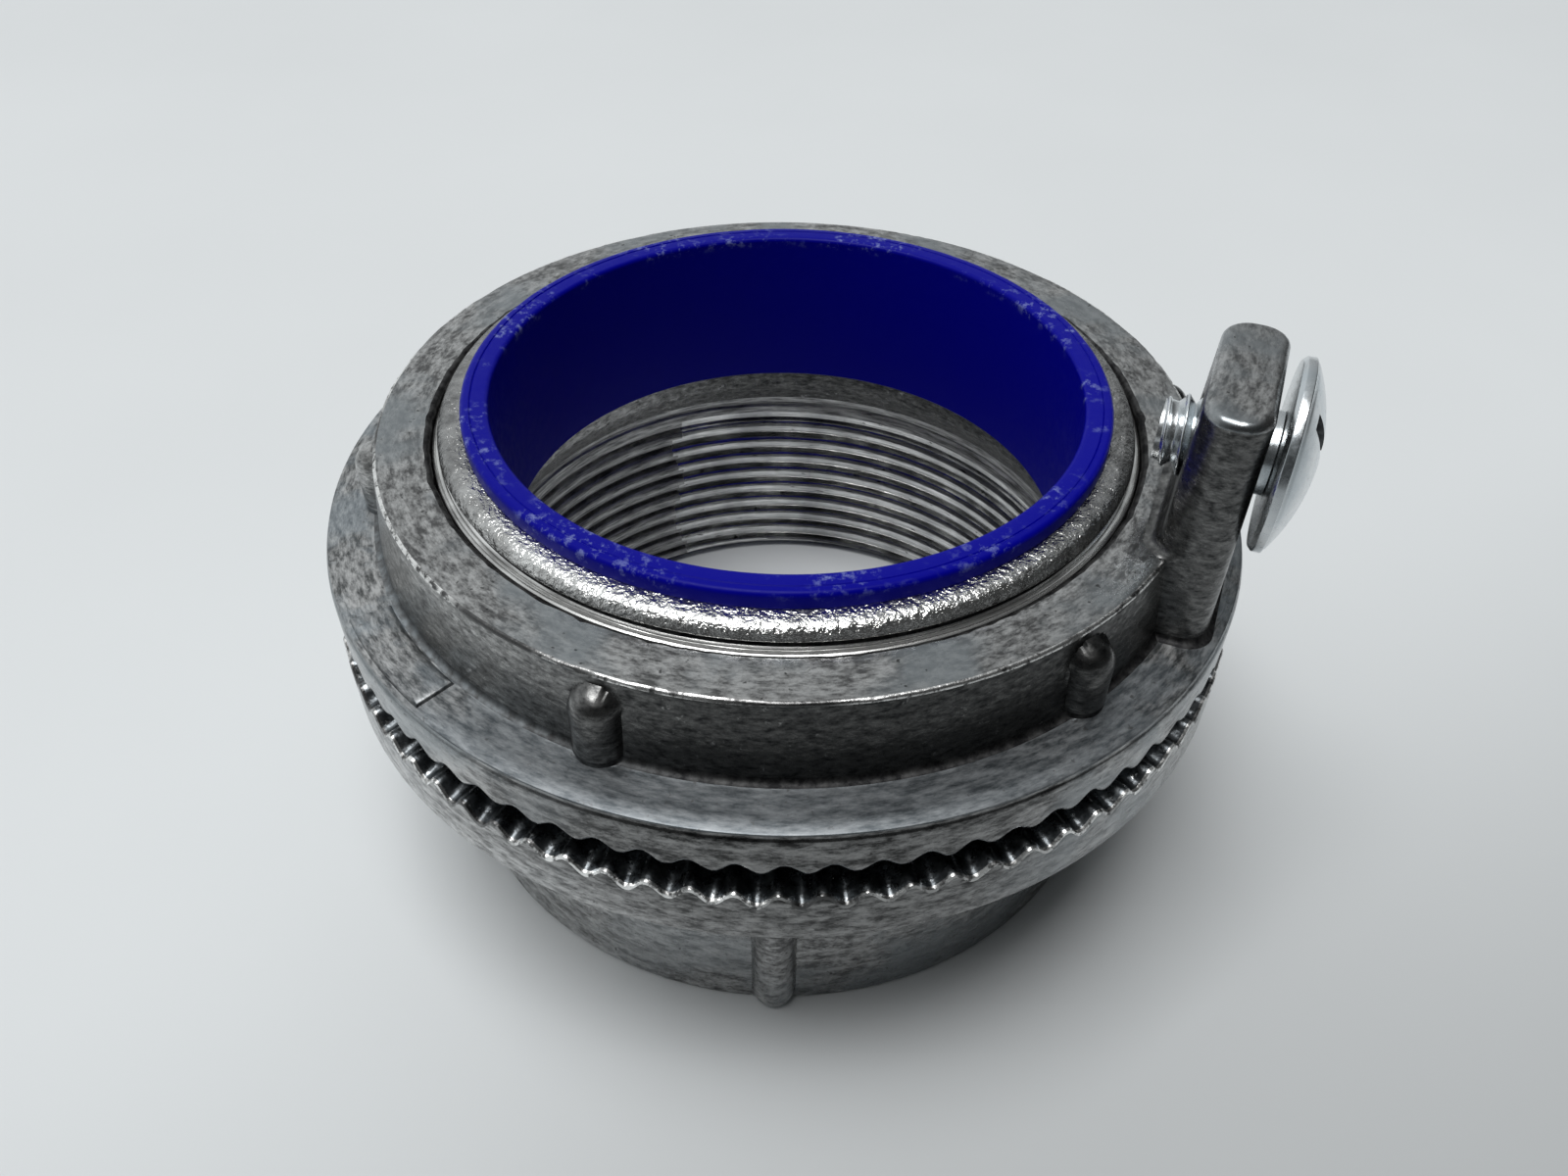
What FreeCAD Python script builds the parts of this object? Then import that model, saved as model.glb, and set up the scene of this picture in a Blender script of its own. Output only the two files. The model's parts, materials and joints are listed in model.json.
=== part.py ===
"""Watertight conduit hub, two-inch trade size, as a parametric document in millimetres.

The frame: +Z runs up the hub's axis, the origin is where that axis meets the conduit-end face,
and +X points at the bonding lug on the locknut.
"""
import FreeCAD, Part
import os
import Sketcher

# Driving sizes: name, value as text, what it is. Lengths in mm, angles in degrees.
SIZES = [
    # conduit end
    ("thread_bore_radius", "28.3", "crest radius of the conduit thread"),
    ("barrel_wall", "4.2", "barrel wall outside the thread crests"),
    ("barrel_length", "21.2", "conduit-end face to the underside of the hub flange"),
    ("thread_overrun", "1.8", "conduit bore beyond the barrel, into the flange"),
    ("throat_step", "1.9", "conduit bore radius less throat bore radius"),
    ("throat_cone", "2.3", "height of the cone between the two bores"),
    # grip ribs down the barrel
    ("rib_count", "6", "grip ribs round the barrel"),
    ("rib_radius", "1.9", "half width of a rib"),
    ("rib_inset", "0.2", "rib axis inside the barrel's face"),
    ("rib_lift", "0.2", "foot of a rib above the conduit-end face"),
    ("rib_angle", "-9.3", "first rib, turned from the lug"),
    # hub flange with its face teeth
    ("hub_flange_thickness", "4.2", "flange underside to the floor between the teeth"),
    ("tooth_width", "5.5", "radial width of the toothed rim"),
    ("hub_tooth_height", "1.4", "height of the hub's teeth"),
    ("hub_tooth_count", "80", "teeth round the hub flange"),
    ("hub_notch_angle", "1.1", "first notch, turned from the lug"),
    ("notch_length", "5.0", "length of a notch, from the rim to where it runs out"),
    ("notch_open_share", "0.76", "share of the tooth pitch that a notch takes at the tips"),
    ("notch_floor_share", "0.24", "share of the tooth pitch that a notch takes at its floor"),
    # sealing ring and its groove
    ("groove_width", "4.7", "radial width of the seal groove"),
    ("groove_depth", "2.0", "depth of the seal groove"),
    ("seal_clearance", "0.2", "gap each side of the sealing ring"),
    ("seal_height", "3.5", "height of the sealing ring"),
    # threaded nipple
    ("nipple_wall", "3.2", "nipple wall outside the throat bore"),
    ("nipple_above_nut", "1.45", "nipple end above the locknut"),
    ("nipple_shoulder", "1.8", "rounded shoulder on the nipple's end"),
    # insulating throat liner
    ("liner_clearance", "0.05", "gap between liner and throat bore"),
    ("liner_wall", "1.75", "liner wall"),
    ("liner_gap", "2.2", "liner's lower end above the bore cone"),
    ("lip_overhang", "0.5", "lip radius less throat bore radius"),
    ("lip_height", "1.45", "height of the lip on the nipple's end"),
    # locknut
    ("panel_gap", "2.0", "space between the two toothed rims"),
    ("nut_clearance", "0.07", "gap between nipple and locknut bore"),
    ("nut_tooth_height", "1.1", "height of the locknut's teeth"),
    ("nut_tooth_count", "75", "teeth round the locknut flange"),
    ("nut_notch_angle", "-0.9", "first notch, turned from the lug"),
    ("nut_flange_thickness", "3.25", "floor between the teeth to the flange top"),
    ("nut_rim_inset", "0.3", "hub flange radius less locknut flange radius"),
    ("nut_ring_wall", "4.53", "wall of the ring at its top"),
    ("nut_ring_height", "7.1", "ring above the flange"),
    ("nut_ring_draft", "0.8", "growth in radius from the ring's top to its foot"),
    ("nut_foot_flare", "0.6", "flare at the foot of the ring"),
    # wrench ears round the ring
    ("ear_count", "6", "wrench ears round the ring"),
    ("ear_radius", "2.0", "half width of an ear"),
    ("ear_stand", "0.1", "ear axis outside the ring's face"),
    ("ear_drop", "1.0", "ear top below the ring's top"),
    ("ear_angle", "30", "first ear, turned from the lug"),
    # raised plate on the flange
    ("plate_angle", "-128", "first end of the plate, turned from the lug"),
    ("plate_span", "17", "angle that the plate covers"),
    ("plate_margin", "0.6", "flange left free along the plate's two long sides"),
    ("plate_height", "0.35", "plate above the flange"),
    # bonding lug
    ("lug_overlap", "1.5", "lug's inner face inside the ring's face"),
    ("lug_thickness", "4.9", "lug thickness"),
    ("lug_width", "14.4", "lug width along the rim at its top"),
    ("lug_spread", "1.3", "growth of the lug's half width from its top to its foot"),
    ("lug_height", "19.25", "lug above the flange"),
    ("lug_corner", "1.5", "round on the lug's upright corners"),
    ("lug_bevel", "0.9", "bevel on the lug's upper edge"),
    # bonding screw
    ("screw_radius", "3.175", "crest radius of the screw thread"),
    ("screw_clearance", "0.05", "gap between screw and lug hole"),
    ("screw_rise", "12.85", "screw axis above the flange"),
    ("screw_reach", "2.6", "screw end beyond the lug's inner face"),
    ("screw_tip_chamfer", "0.7", "bevel on the screw's end"),
    ("head_gap", "0.9", "wire space between lug and head"),
    ("head_radius", "7.3", "head radius"),
    ("head_height", "3.3", "head height"),
    ("head_rim", "0.95", "straight rim of the head"),
    ("recess_width", "1.5", "width of the cross recess's arms"),
    ("recess_span", "4.8", "cross recess from end to end"),
    ("recess_depth", "1.6", "depth of the cross recess below the head's crown"),
    # construction
    ("embed", "0.5", "how far a cast feature is rooted in what carries it"),
]

# Radii and heights that follow from the driving sizes.
DERIVED = [
    ("barrel_radius", "Sizes.thread_bore_radius + Sizes.barrel_wall"),
    ("throat_radius", "Sizes.thread_bore_radius - Sizes.throat_step"),
    ("nipple_radius", "throat_radius + Sizes.nipple_wall"),
    ("tooth_inner", "nipple_radius + Sizes.groove_width"),
    ("hub_flange_radius", "tooth_inner + Sizes.tooth_width"),
    ("rib_axis", "barrel_radius - Sizes.rib_inset"),
    ("liner_outer", "throat_radius - Sizes.liner_clearance"),
    ("liner_inner", "liner_outer - Sizes.liner_wall"),
    ("lip_radius", "throat_radius + Sizes.lip_overhang"),
    ("nut_bore", "nipple_radius + Sizes.nut_clearance"),
    ("nut_ring_radius", "nut_bore + Sizes.nut_ring_wall"),
    ("nut_ring_base", "nut_ring_radius + Sizes.nut_ring_draft"),
    ("nut_flange_radius", "hub_flange_radius - Sizes.nut_rim_inset"),
    ("ear_axis", "nut_ring_radius + Sizes.ear_stand"),
    ("plate_inner", "nut_ring_base + Sizes.plate_margin"),
    ("plate_outer", "nut_flange_radius - Sizes.plate_margin"),
    ("lug_inner", "nut_ring_radius - Sizes.lug_overlap"),
    ("lug_outer", "lug_inner + Sizes.lug_thickness"),
    ("head_under", "lug_outer + Sizes.head_gap"),
    ("head_top", "head_under + Sizes.head_height"),
    ("screw_tip", "lug_inner - Sizes.screw_reach"),
    ("hub_floor", "Sizes.barrel_length + Sizes.hub_flange_thickness"),
    ("hub_tip", "hub_floor + Sizes.hub_tooth_height"),
    ("groove_floor", "hub_floor - Sizes.groove_depth"),
    ("thread_top", "Sizes.barrel_length + Sizes.thread_overrun"),
    ("cone_top", "thread_top + Sizes.throat_cone"),
    ("nut_tip", "hub_tip + Sizes.panel_gap"),
    ("nut_floor", "nut_tip + Sizes.nut_tooth_height"),
    ("nut_flange_top", "nut_floor + Sizes.nut_flange_thickness"),
    ("nut_ring_top", "nut_flange_top + Sizes.nut_ring_height"),
    ("ear_top", "nut_ring_top - Sizes.ear_drop"),
    ("nipple_top", "nut_ring_top + Sizes.nipple_above_nut"),
    ("lip_top", "nipple_top + Sizes.lip_height"),
    ("liner_bottom", "cone_top + Sizes.liner_gap"),
    ("lug_top", "nut_flange_top + Sizes.lug_height"),
    ("screw_z", "nut_flange_top + Sizes.screw_rise"),
]

doc = FreeCAD.newDocument("conduit_hub")
sizes = doc.addObject("Spreadsheet::Sheet", "Sizes")
for row, (alias, number, note) in enumerate(SIZES, 1):
    sizes.set(f"A{row}", note)
    sizes.set(f"B{row}", number)
    sizes.setAlias(f"B{row}", alias)
doc.recompute()

derived = doc.addObject("App::VarSet", "Derived")
for alias, formula in DERIVED:
    derived.addProperty("App::PropertyFloat", alias, "Derived")
    derived.setExpression(alias, formula)
doc.recompute()

# A rounded end is drawn in straight steps, at these angles up its quarter circle.
POST_STEPS = (0, 50)
SHOULDER_STEPS = (0, 45, 90)
# Shares of the head's radius at which the crown's profile has its corners, out to in.
CROWN_SHARES = (1, 0.7, 0.35)


def value(expression):
    """The number that an expression of the document gives."""
    return float(derived.evalExpression(expression))


def new_body(label):
    """An empty body whose label names the sub-part."""
    body = doc.addObject("PartDesign::Body", label)
    body.Label = label
    return body


def datum(body, role):
    """A plane or axis of the body's own origin."""
    return next(item for item in body.Origin.OriginFeatures if item.Role == role)


def new_sketch(body, name, plane, turn="0", shift="0"):
    """A sketch on an origin plane, turned about +Z and shifted along the turned plane's normal."""
    sketch = body.newObject("Sketcher::SketchObject", name)
    sketch.AttachmentSupport = [(datum(body, plane), "")]
    sketch.MapMode = "FlatFace"
    if turn != "0":
        upright = FreeCAD.Rotation(FreeCAD.Vector(0, 1, 0), 1)
        sketch.AttachmentOffset = FreeCAD.Placement(FreeCAD.Vector(), upright)
        sketch.setExpression("AttachmentOffset.Rotation.Angle", f"({turn}) * 1 deg")
    if shift != "0":
        sketch.setExpression("AttachmentOffset.Base.x", f"({shift}) * sin(({turn}) * 1 deg)")
        sketch.setExpression("AttachmentOffset.Base.z", f"({shift}) * cos(({turn}) * 1 deg)")
    return sketch


def bound(sketch, kind, *terms):
    """A sketch constraint whose last term, an expression, stays bound to the sheet."""
    *geometry, expression = terms
    index = sketch.addConstraint(Sketcher.Constraint(kind, *geometry, value(expression)))
    sketch.setExpression(f"Constraints[{index}]", expression)


def outline(sketch, corners):
    """A closed outline of straight edges through corners, each two expressions: across and up."""
    points = [FreeCAD.Vector(value(across), value(up), 0) for across, up in corners]
    edges = [
        sketch.addGeometry(Part.LineSegment(start, end), False)
        for start, end in zip(points, points[1:] + points[:1])
    ]
    for edge, following, (across, up) in zip(edges, edges[1:] + edges[:1], corners):
        sketch.addConstraint(Sketcher.Constraint("Coincident", edge, 2, following, 1))
        bound(sketch, "DistanceX", -1, 1, edge, 1, across)
        bound(sketch, "DistanceY", -1, 1, edge, 1, up)
    doc.recompute()
    return sketch


def rounded_end(across, end, radius, way, steps):
    """Corners of a rounded end, from its side to its tip; way is +1 where the end points down."""
    return [
        (f"{across} + {radius} * cos({step} * 1 deg)",
         f"{end} + {way} * abs({radius}) * (1 - sin({step} * 1 deg))")
        for step in steps
    ]


def post_end(axis, end, radius, way):
    """Corners of a post's rounded end, drawn on the side of its axis that lies in the wall."""
    corners = rounded_end(axis, end, f"(-{radius})", way, POST_STEPS)
    return [*corners, (axis, corners[-1][1])]


def axis_line(sketch, across, low, high):
    """An upright construction line to revolve about; it is the sketch's first axis."""
    start = FreeCAD.Vector(value(across), value(low), 0)
    end = FreeCAD.Vector(value(across), value(high), 0)
    line = sketch.addGeometry(Part.LineSegment(start, end), True)
    for end_index, up in ((1, low), (2, high)):
        bound(sketch, "DistanceX", -1, 1, line, end_index, across)
        bound(sketch, "DistanceY", -1, 1, line, end_index, up)


def revolve(body, name, sketch, axis="V_Axis", angle="360"):
    """A revolution of the sketch about one of its axes."""
    feature = body.newObject("PartDesign::Revolution", name)
    feature.Profile = sketch
    feature.ReferenceAxis = (sketch, [axis])
    feature.setExpression("Angle", angle)
    doc.recompute()
    return feature


def around(body, name, feature, count):
    """Copies of a feature, evenly spaced about +Z."""
    pattern = body.newObject("PartDesign::PolarPattern", name)
    pattern.Originals = [feature]
    pattern.Axis = (datum(body, "Z_Axis"), [""])
    pattern.Angle = 360
    pattern.setExpression("Occurrences", count)
    body.Tip = pattern
    doc.recompute()
    return pattern


def edge_names(feature, wanted):
    """Names of a feature's edges whose bounding box is wanted."""
    return [f"Edge{index}" for index, edge in enumerate(feature.Shape.Edges, 1) if wanted(edge.BoundBox)]


def must_shrink(body, before):
    """Stops the build when a cut has removed nothing."""
    if not body.Shape.Volume < before:
        raise RuntimeError(f"{body.Label}: {body.Tip.Name} cut nothing")


def notch_section(body, turn, station, count, low, depth):
    """A notch's outline across the rim at one distance from the axis."""
    half_pitch = f"({station}) * pi / {count}"
    narrow = f"{half_pitch} * Sizes.notch_floor_share"
    wide = f"{half_pitch} * (2 * Sizes.notch_open_share - Sizes.notch_floor_share)"
    high = f"{low} + 2 * ({depth})"
    return outline(new_sketch(body, "NotchSection", "YZ_Plane", turn, station), [
        (f"-({wide})", high),
        (f"-({narrow})", low),
        (narrow, low),
        (wide, high),
    ])


def face_teeth(body, turn, count, floor, tip, rim):
    """Radial face teeth: a lofted notch, deepest at the rim and running out inwards, all round the axis."""
    before = body.Shape.Volume
    depth = f"{tip} - {floor}"
    run_out = f"{rim} - Sizes.notch_length"
    past_rim = f"{floor} - ({depth}) * Sizes.embed / Sizes.notch_length"
    notch = body.newObject("PartDesign::SubtractiveLoft", "Notch")
    inner = notch_section(body, turn, run_out, count, tip, depth)
    outer = notch_section(body, turn, f"{rim} + Sizes.embed", count, past_rim, depth)
    notch.Profile = inner
    notch.Sections = [outer]
    notch.Ruled = True
    doc.recompute()
    around(body, "Teeth", notch, count)
    must_shrink(body, before)


def hub_body():
    """The die-cast hub: barrel with grip ribs, toothed flange with its seal groove, threaded nipple."""
    body = new_body("hub_body")
    section = outline(new_sketch(body, "HubSection", "XZ_Plane"), [
        ("Sizes.thread_bore_radius", "0"),
        ("Derived.barrel_radius", "0"),
        ("Derived.barrel_radius", "Sizes.barrel_length"),
        ("Derived.hub_flange_radius", "Sizes.barrel_length"),
        ("Derived.hub_flange_radius", "Derived.hub_tip"),
        ("Derived.tooth_inner", "Derived.hub_tip"),
        ("Derived.tooth_inner", "Derived.groove_floor"),
        ("Derived.nipple_radius", "Derived.groove_floor"),
        *rounded_end("Derived.nipple_radius - Sizes.nipple_shoulder", "Derived.nipple_top",
                     "Sizes.nipple_shoulder", -1, SHOULDER_STEPS),
        ("Derived.throat_radius", "Derived.nipple_top"),
        ("Derived.throat_radius", "Derived.cone_top"),
        ("Sizes.thread_bore_radius", "Derived.thread_top"),
    ])
    revolve(body, "Casting", section)
    rib_sketch = new_sketch(body, "RibSection", "XZ_Plane", "Sizes.rib_angle")
    axis_line(rib_sketch, "Derived.rib_axis", "Sizes.rib_lift", "Sizes.barrel_length")
    outline(rib_sketch, [
        ("Derived.rib_axis", "Sizes.barrel_length + Sizes.embed"),
        ("Derived.rib_axis - Sizes.rib_radius", "Sizes.barrel_length + Sizes.embed"),
        *post_end("Derived.rib_axis", "Sizes.rib_lift", "Sizes.rib_radius", 1),
    ])
    around(body, "Ribs", revolve(body, "Rib", rib_sketch, "Axis0"), "Sizes.rib_count")
    face_teeth(body, "Sizes.hub_notch_angle", "Sizes.hub_tooth_count",
               "Derived.hub_floor", "Derived.hub_tip", "Derived.hub_flange_radius")
    return body


def throat_liner():
    """The insulating liner: a sleeve in the throat bore with a lip over the nipple's end."""
    body = new_body("throat_liner")
    section = outline(new_sketch(body, "LinerSection", "XZ_Plane"), [
        ("Derived.liner_inner", "Derived.liner_bottom"),
        ("Derived.liner_outer", "Derived.liner_bottom"),
        ("Derived.liner_outer", "Derived.nipple_top"),
        ("Derived.lip_radius", "Derived.nipple_top"),
        ("Derived.lip_radius", "Derived.lip_top"),
        ("Derived.liner_inner", "Derived.lip_top"),
    ])
    revolve(body, "Sleeve", section)
    return body


def sealing_ring():
    """The rubber ring in the hub flange's groove, a little prouder than the teeth."""
    body = new_body("sealing_ring")
    inner = "Derived.nipple_radius + Sizes.seal_clearance"
    outer = "Derived.tooth_inner - Sizes.seal_clearance"
    top = "Derived.groove_floor + Sizes.seal_height"
    section = outline(new_sketch(body, "SealSection", "XZ_Plane"), [
        (inner, "Derived.groove_floor"),
        (outer, "Derived.groove_floor"),
        (outer, top),
        (inner, top),
    ])
    revolve(body, "Ring", section)
    return body


def bonding_lug(body):
    """The lug: a block that widens to its foot, with rounded corners, a bevelled top and the screw's hole.

    It is made before the rest of the nut, while its edges are still those of a plain block.
    """
    root = "Derived.nut_flange_top - Sizes.embed"
    half = "Sizes.lug_width / 2"
    lug = body.newObject("PartDesign::Pad", "Lug")
    lug.Profile = outline(new_sketch(body, "LugFace", "YZ_Plane", shift="Derived.lug_inner"), [
        (f"-({half} + Sizes.lug_spread)", root),
        (f"{half} + Sizes.lug_spread", root),
        (half, "Derived.lug_top"),
        (f"-{half}", "Derived.lug_top"),
    ])
    lug.setExpression("Length", "Sizes.lug_thickness")
    doc.recompute()
    tall = value("Sizes.lug_height") / 2
    rounds = body.newObject("PartDesign::Fillet", "LugRounds")
    rounds.Base = (lug, edge_names(lug, lambda box: box.ZLength > tall))
    rounds.setExpression("Radius", "Sizes.lug_corner")
    doc.recompute()
    below_top = value("Derived.lug_top - Sizes.lug_bevel")
    bevel = body.newObject("PartDesign::Chamfer", "LugTop")
    bevel.Base = (rounds, edge_names(rounds, lambda box: box.ZMin > below_top))
    bevel.setExpression("Size", "Sizes.lug_bevel")
    doc.recompute()
    before = body.Shape.Volume
    mouth = new_sketch(body, "ScrewHoleMouth", "YZ_Plane")
    centre = FreeCAD.Vector(0, value("Derived.screw_z"), 0)
    radius = "Sizes.screw_radius + Sizes.screw_clearance"
    ring = mouth.addGeometry(Part.Circle(centre, FreeCAD.Vector(0, 0, 1), value(radius)), False)
    bound(mouth, "DistanceX", -1, 1, ring, 3, "0")
    bound(mouth, "DistanceY", -1, 1, ring, 3, "Derived.screw_z")
    bound(mouth, "Radius", ring, radius)
    hole = body.newObject("PartDesign::Pocket", "ScrewHole")
    hole.Profile = mouth
    hole.Reversed = True
    hole.setExpression("Length", "Derived.lug_outer + Sizes.embed")
    doc.recompute()
    must_shrink(body, before)


def locknut():
    """The die-cast locknut: toothed flange, ring with wrench ears, bare raised plate and bonding lug."""
    body = new_body("locknut")
    bonding_lug(body)
    section = outline(new_sketch(body, "NutSection", "XZ_Plane"), [
        ("Derived.nut_bore", "Derived.nut_floor"),
        ("Derived.tooth_inner", "Derived.nut_floor"),
        ("Derived.tooth_inner", "Derived.nut_tip"),
        ("Derived.nut_flange_radius", "Derived.nut_tip"),
        ("Derived.nut_flange_radius", "Derived.nut_flange_top"),
        ("Derived.nut_ring_base + Sizes.nut_foot_flare", "Derived.nut_flange_top"),
        ("Derived.nut_ring_base", "Derived.nut_flange_top + Sizes.nut_foot_flare"),
        ("Derived.nut_ring_radius", "Derived.nut_ring_top"),
        ("Derived.nut_bore", "Derived.nut_ring_top"),
    ])
    revolve(body, "Casting", section)
    face_teeth(body, "Sizes.nut_notch_angle", "Sizes.nut_tooth_count",
               "Derived.nut_floor", "Derived.nut_tip", "Derived.nut_flange_radius")
    ear_sketch = new_sketch(body, "EarSection", "XZ_Plane", "Sizes.ear_angle")
    root = "Derived.nut_flange_top - Sizes.embed"
    axis_line(ear_sketch, "Derived.ear_axis", root, "Derived.ear_top")
    outline(ear_sketch, [
        ("Derived.ear_axis", root),
        ("Derived.ear_axis - Sizes.ear_radius", root),
        *post_end("Derived.ear_axis", "Derived.ear_top", "Sizes.ear_radius", -1),
    ])
    around(body, "Ears", revolve(body, "Ear", ear_sketch, "Axis0"), "Sizes.ear_count")
    plate = outline(new_sketch(body, "PlateSection", "XZ_Plane", "Sizes.plate_angle"), [
        ("Derived.plate_inner", root),
        ("Derived.plate_outer", root),
        ("Derived.plate_outer", "Derived.nut_flange_top + Sizes.plate_height"),
        ("Derived.plate_inner", "Derived.nut_flange_top + Sizes.plate_height"),
    ])
    revolve(body, "Plate", plate, angle="Sizes.plate_span")
    return body


def cross_corners(arm, reach):
    """Corners of an upright cross about the origin, from its right-hand arm round."""
    return [
        (reach, f"-{arm}"), (reach, arm), (arm, arm),
        (arm, reach), (f"-{arm}", reach), (f"-{arm}", arm),
        (f"-{reach}", arm), (f"-{reach}", f"-{arm}"), (f"-{arm}", f"-{arm}"),
        (f"-{arm}", f"-{reach}"), (arm, f"-{reach}"), (arm, f"-{arm}"),
    ]


def bonding_screw():
    """The bonding screw, drawn along +X at the origin and placed at the height of the lug's hole."""
    body = new_body("bonding_screw")
    rise = "(Sizes.head_height - Sizes.head_rim)"
    crown = f"((Sizes.head_radius ^ 2 + {rise} ^ 2) / (2 * {rise}))"
    crown_corners = [
        (f"Derived.head_top - {crown} + sqrt({crown} ^ 2 - (Sizes.head_radius * {share}) ^ 2)",
         f"Sizes.head_radius * {share}")
        for share in CROWN_SHARES
    ]
    section = outline(new_sketch(body, "ScrewSection", "XZ_Plane"), [
        ("Derived.screw_tip", "0"),
        ("Derived.screw_tip", "Sizes.screw_radius - Sizes.screw_tip_chamfer"),
        ("Derived.screw_tip + Sizes.screw_tip_chamfer", "Sizes.screw_radius"),
        ("Derived.head_under", "Sizes.screw_radius"),
        ("Derived.head_under", "Sizes.head_radius"),
        *crown_corners,
        (crown_corners[-1][0], "0"),
    ])
    revolve(body, "Blank", section, "H_Axis")
    before = body.Shape.Volume
    recess = body.newObject("PartDesign::Pocket", "CrossRecess")
    recess_outline = new_sketch(body, "CrossOutline", "YZ_Plane", shift="Derived.head_top")
    recess.Profile = outline(recess_outline, cross_corners("Sizes.recess_width / 2", "Sizes.recess_span / 2"))
    recess.setExpression("Length", "Sizes.recess_depth")
    doc.recompute()
    must_shrink(body, before)
    body.setExpression("Placement.Base.z", "Derived.screw_z")
    doc.recompute()
    return body


bodies = [hub_body(), throat_liner(), sealing_ring(), locknut(), bonding_screw()]
doc.recompute()
for item in doc.Objects:
    if "Invalid" in item.State or "Error" in item.State:
        raise RuntimeError(f"{item.Name} failed: {item.State}")
for body in bodies:
    if body.Shape.isNull() or not body.Shape.isValid() or len(body.Shape.Solids) != 1:
        raise RuntimeError(f"{body.Label} is not one valid solid")

os.makedirs("parts", exist_ok=True)
for body in bodies:
    body.Shape.exportStep(f"parts/{body.Label}.step")
    box = body.Shape.BoundBox
    print(f"{body.Label}: volume {body.Shape.Volume:.1f}, x {box.XMin:.2f} {box.XMax:.2f}, "
          f"y {box.YMin:.2f} {box.YMax:.2f}, z {box.ZMin:.2f} {box.ZMax:.2f}")
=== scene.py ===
"""Looks of a watertight conduit hub: modelled pieces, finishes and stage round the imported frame."""
import json
import math

import bmesh
import bpy
import numpy as np
from bpy.props import FloatProperty, FloatVectorProperty, IntProperty, PointerProperty
from mathutils import Matrix, Vector, noise


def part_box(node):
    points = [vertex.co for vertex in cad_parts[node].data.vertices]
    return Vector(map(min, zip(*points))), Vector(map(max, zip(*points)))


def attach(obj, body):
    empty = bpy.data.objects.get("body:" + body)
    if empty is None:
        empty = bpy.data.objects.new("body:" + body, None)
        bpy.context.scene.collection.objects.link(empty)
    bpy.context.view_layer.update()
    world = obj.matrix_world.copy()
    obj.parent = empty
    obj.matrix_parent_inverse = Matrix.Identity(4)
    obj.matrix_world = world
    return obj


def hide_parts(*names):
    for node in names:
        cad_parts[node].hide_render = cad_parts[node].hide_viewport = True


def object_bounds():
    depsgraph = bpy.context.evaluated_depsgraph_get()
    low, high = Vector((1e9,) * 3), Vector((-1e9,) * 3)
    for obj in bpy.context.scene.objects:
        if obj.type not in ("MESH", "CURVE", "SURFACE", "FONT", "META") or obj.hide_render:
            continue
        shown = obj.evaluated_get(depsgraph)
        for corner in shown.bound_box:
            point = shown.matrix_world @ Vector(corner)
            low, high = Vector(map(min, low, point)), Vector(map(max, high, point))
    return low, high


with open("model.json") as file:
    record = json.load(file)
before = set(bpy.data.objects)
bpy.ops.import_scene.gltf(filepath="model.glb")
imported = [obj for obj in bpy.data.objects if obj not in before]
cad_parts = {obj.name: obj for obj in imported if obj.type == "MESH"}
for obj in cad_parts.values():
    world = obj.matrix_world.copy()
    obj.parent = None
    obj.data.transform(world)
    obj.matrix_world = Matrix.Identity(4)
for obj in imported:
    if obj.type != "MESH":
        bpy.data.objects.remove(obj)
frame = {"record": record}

bl_info = {
    "name": "Conduit Hub Looks",
    "version": (1, 0, 0),
    "blender": (4, 5, 0),
    "location": "3D View > Sidebar > Conduit Hub",
    "description": "Builds the visible pieces, finishes and stage of a watertight conduit hub",
    "category": "Object",
}

CAD_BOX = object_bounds()
MM = 0.001
TURN = 2 * math.pi

_, HUB_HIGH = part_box("hub_body")
NUT_LOW, NUT_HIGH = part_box("locknut")
LINER_LOW, LINER_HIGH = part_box("throat_liner")
SEAL_LOW, SEAL_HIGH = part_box("sealing_ring")
SCREW_LOW, SCREW_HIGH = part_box("bonding_screw")
MOUNT_RADII = {mount["name"]: mount["dims"]["r_mm"] * MM for mount in frame["record"]["mounts"]
               if "r_mm" in mount["dims"]}
NIPPLE_RADIUS = MOUNT_RADII["panel_clamp"]
# Eleven and a half threads to the inch on conduit and nipple, twenty on the screw.
PIPE_PITCH = 25.4 * MM / 11.5
SCREW_PITCH = 25.4 * MM / 20

# Columns round a turn: plain walls, the thread under the locknut, the screw, and each tooth.
PLAIN_COLUMNS = 288
COVERED_COLUMNS = 96
SCREW_COLUMNS = 96
TOOTH_COLUMNS = 12
# Points closer than this are welded, and edges sharper than this stay sharp.
WELD_DISTANCE = 0.001 * MM
SHARP_ANGLE = math.radians(38)

# Finishes of the hub casting and of the locknut casting, in the order of their material slots.
# The cast and chilled finishes carry painted light and shade on their sides; the wall, corner and tooth
# finishes are painted shade, and the collar's has a painted highlight.
CAST, CHILLED, SHADED_WALL, SHADED_CORNER, WORN, NOTCHED, BRIGHT_CUT, DULL_CUT, COLLAR, TURNED = range(10)


def length(label, note, default):
    """A size in metres, as a property."""
    return FloatProperty(name=label, description=note, default=default, min=0, unit="LENGTH", precision=5)


def angle(label, note, degrees):
    """An angle, as a property."""
    return FloatProperty(name=label, description=note, default=math.radians(degrees), subtype="ANGLE")


def colour(label, note, default):
    """A linear colour, as a property."""
    return FloatVectorProperty(name=label, description=note, default=default, size=3, min=0, max=1,
                               subtype="COLOR")


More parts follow.
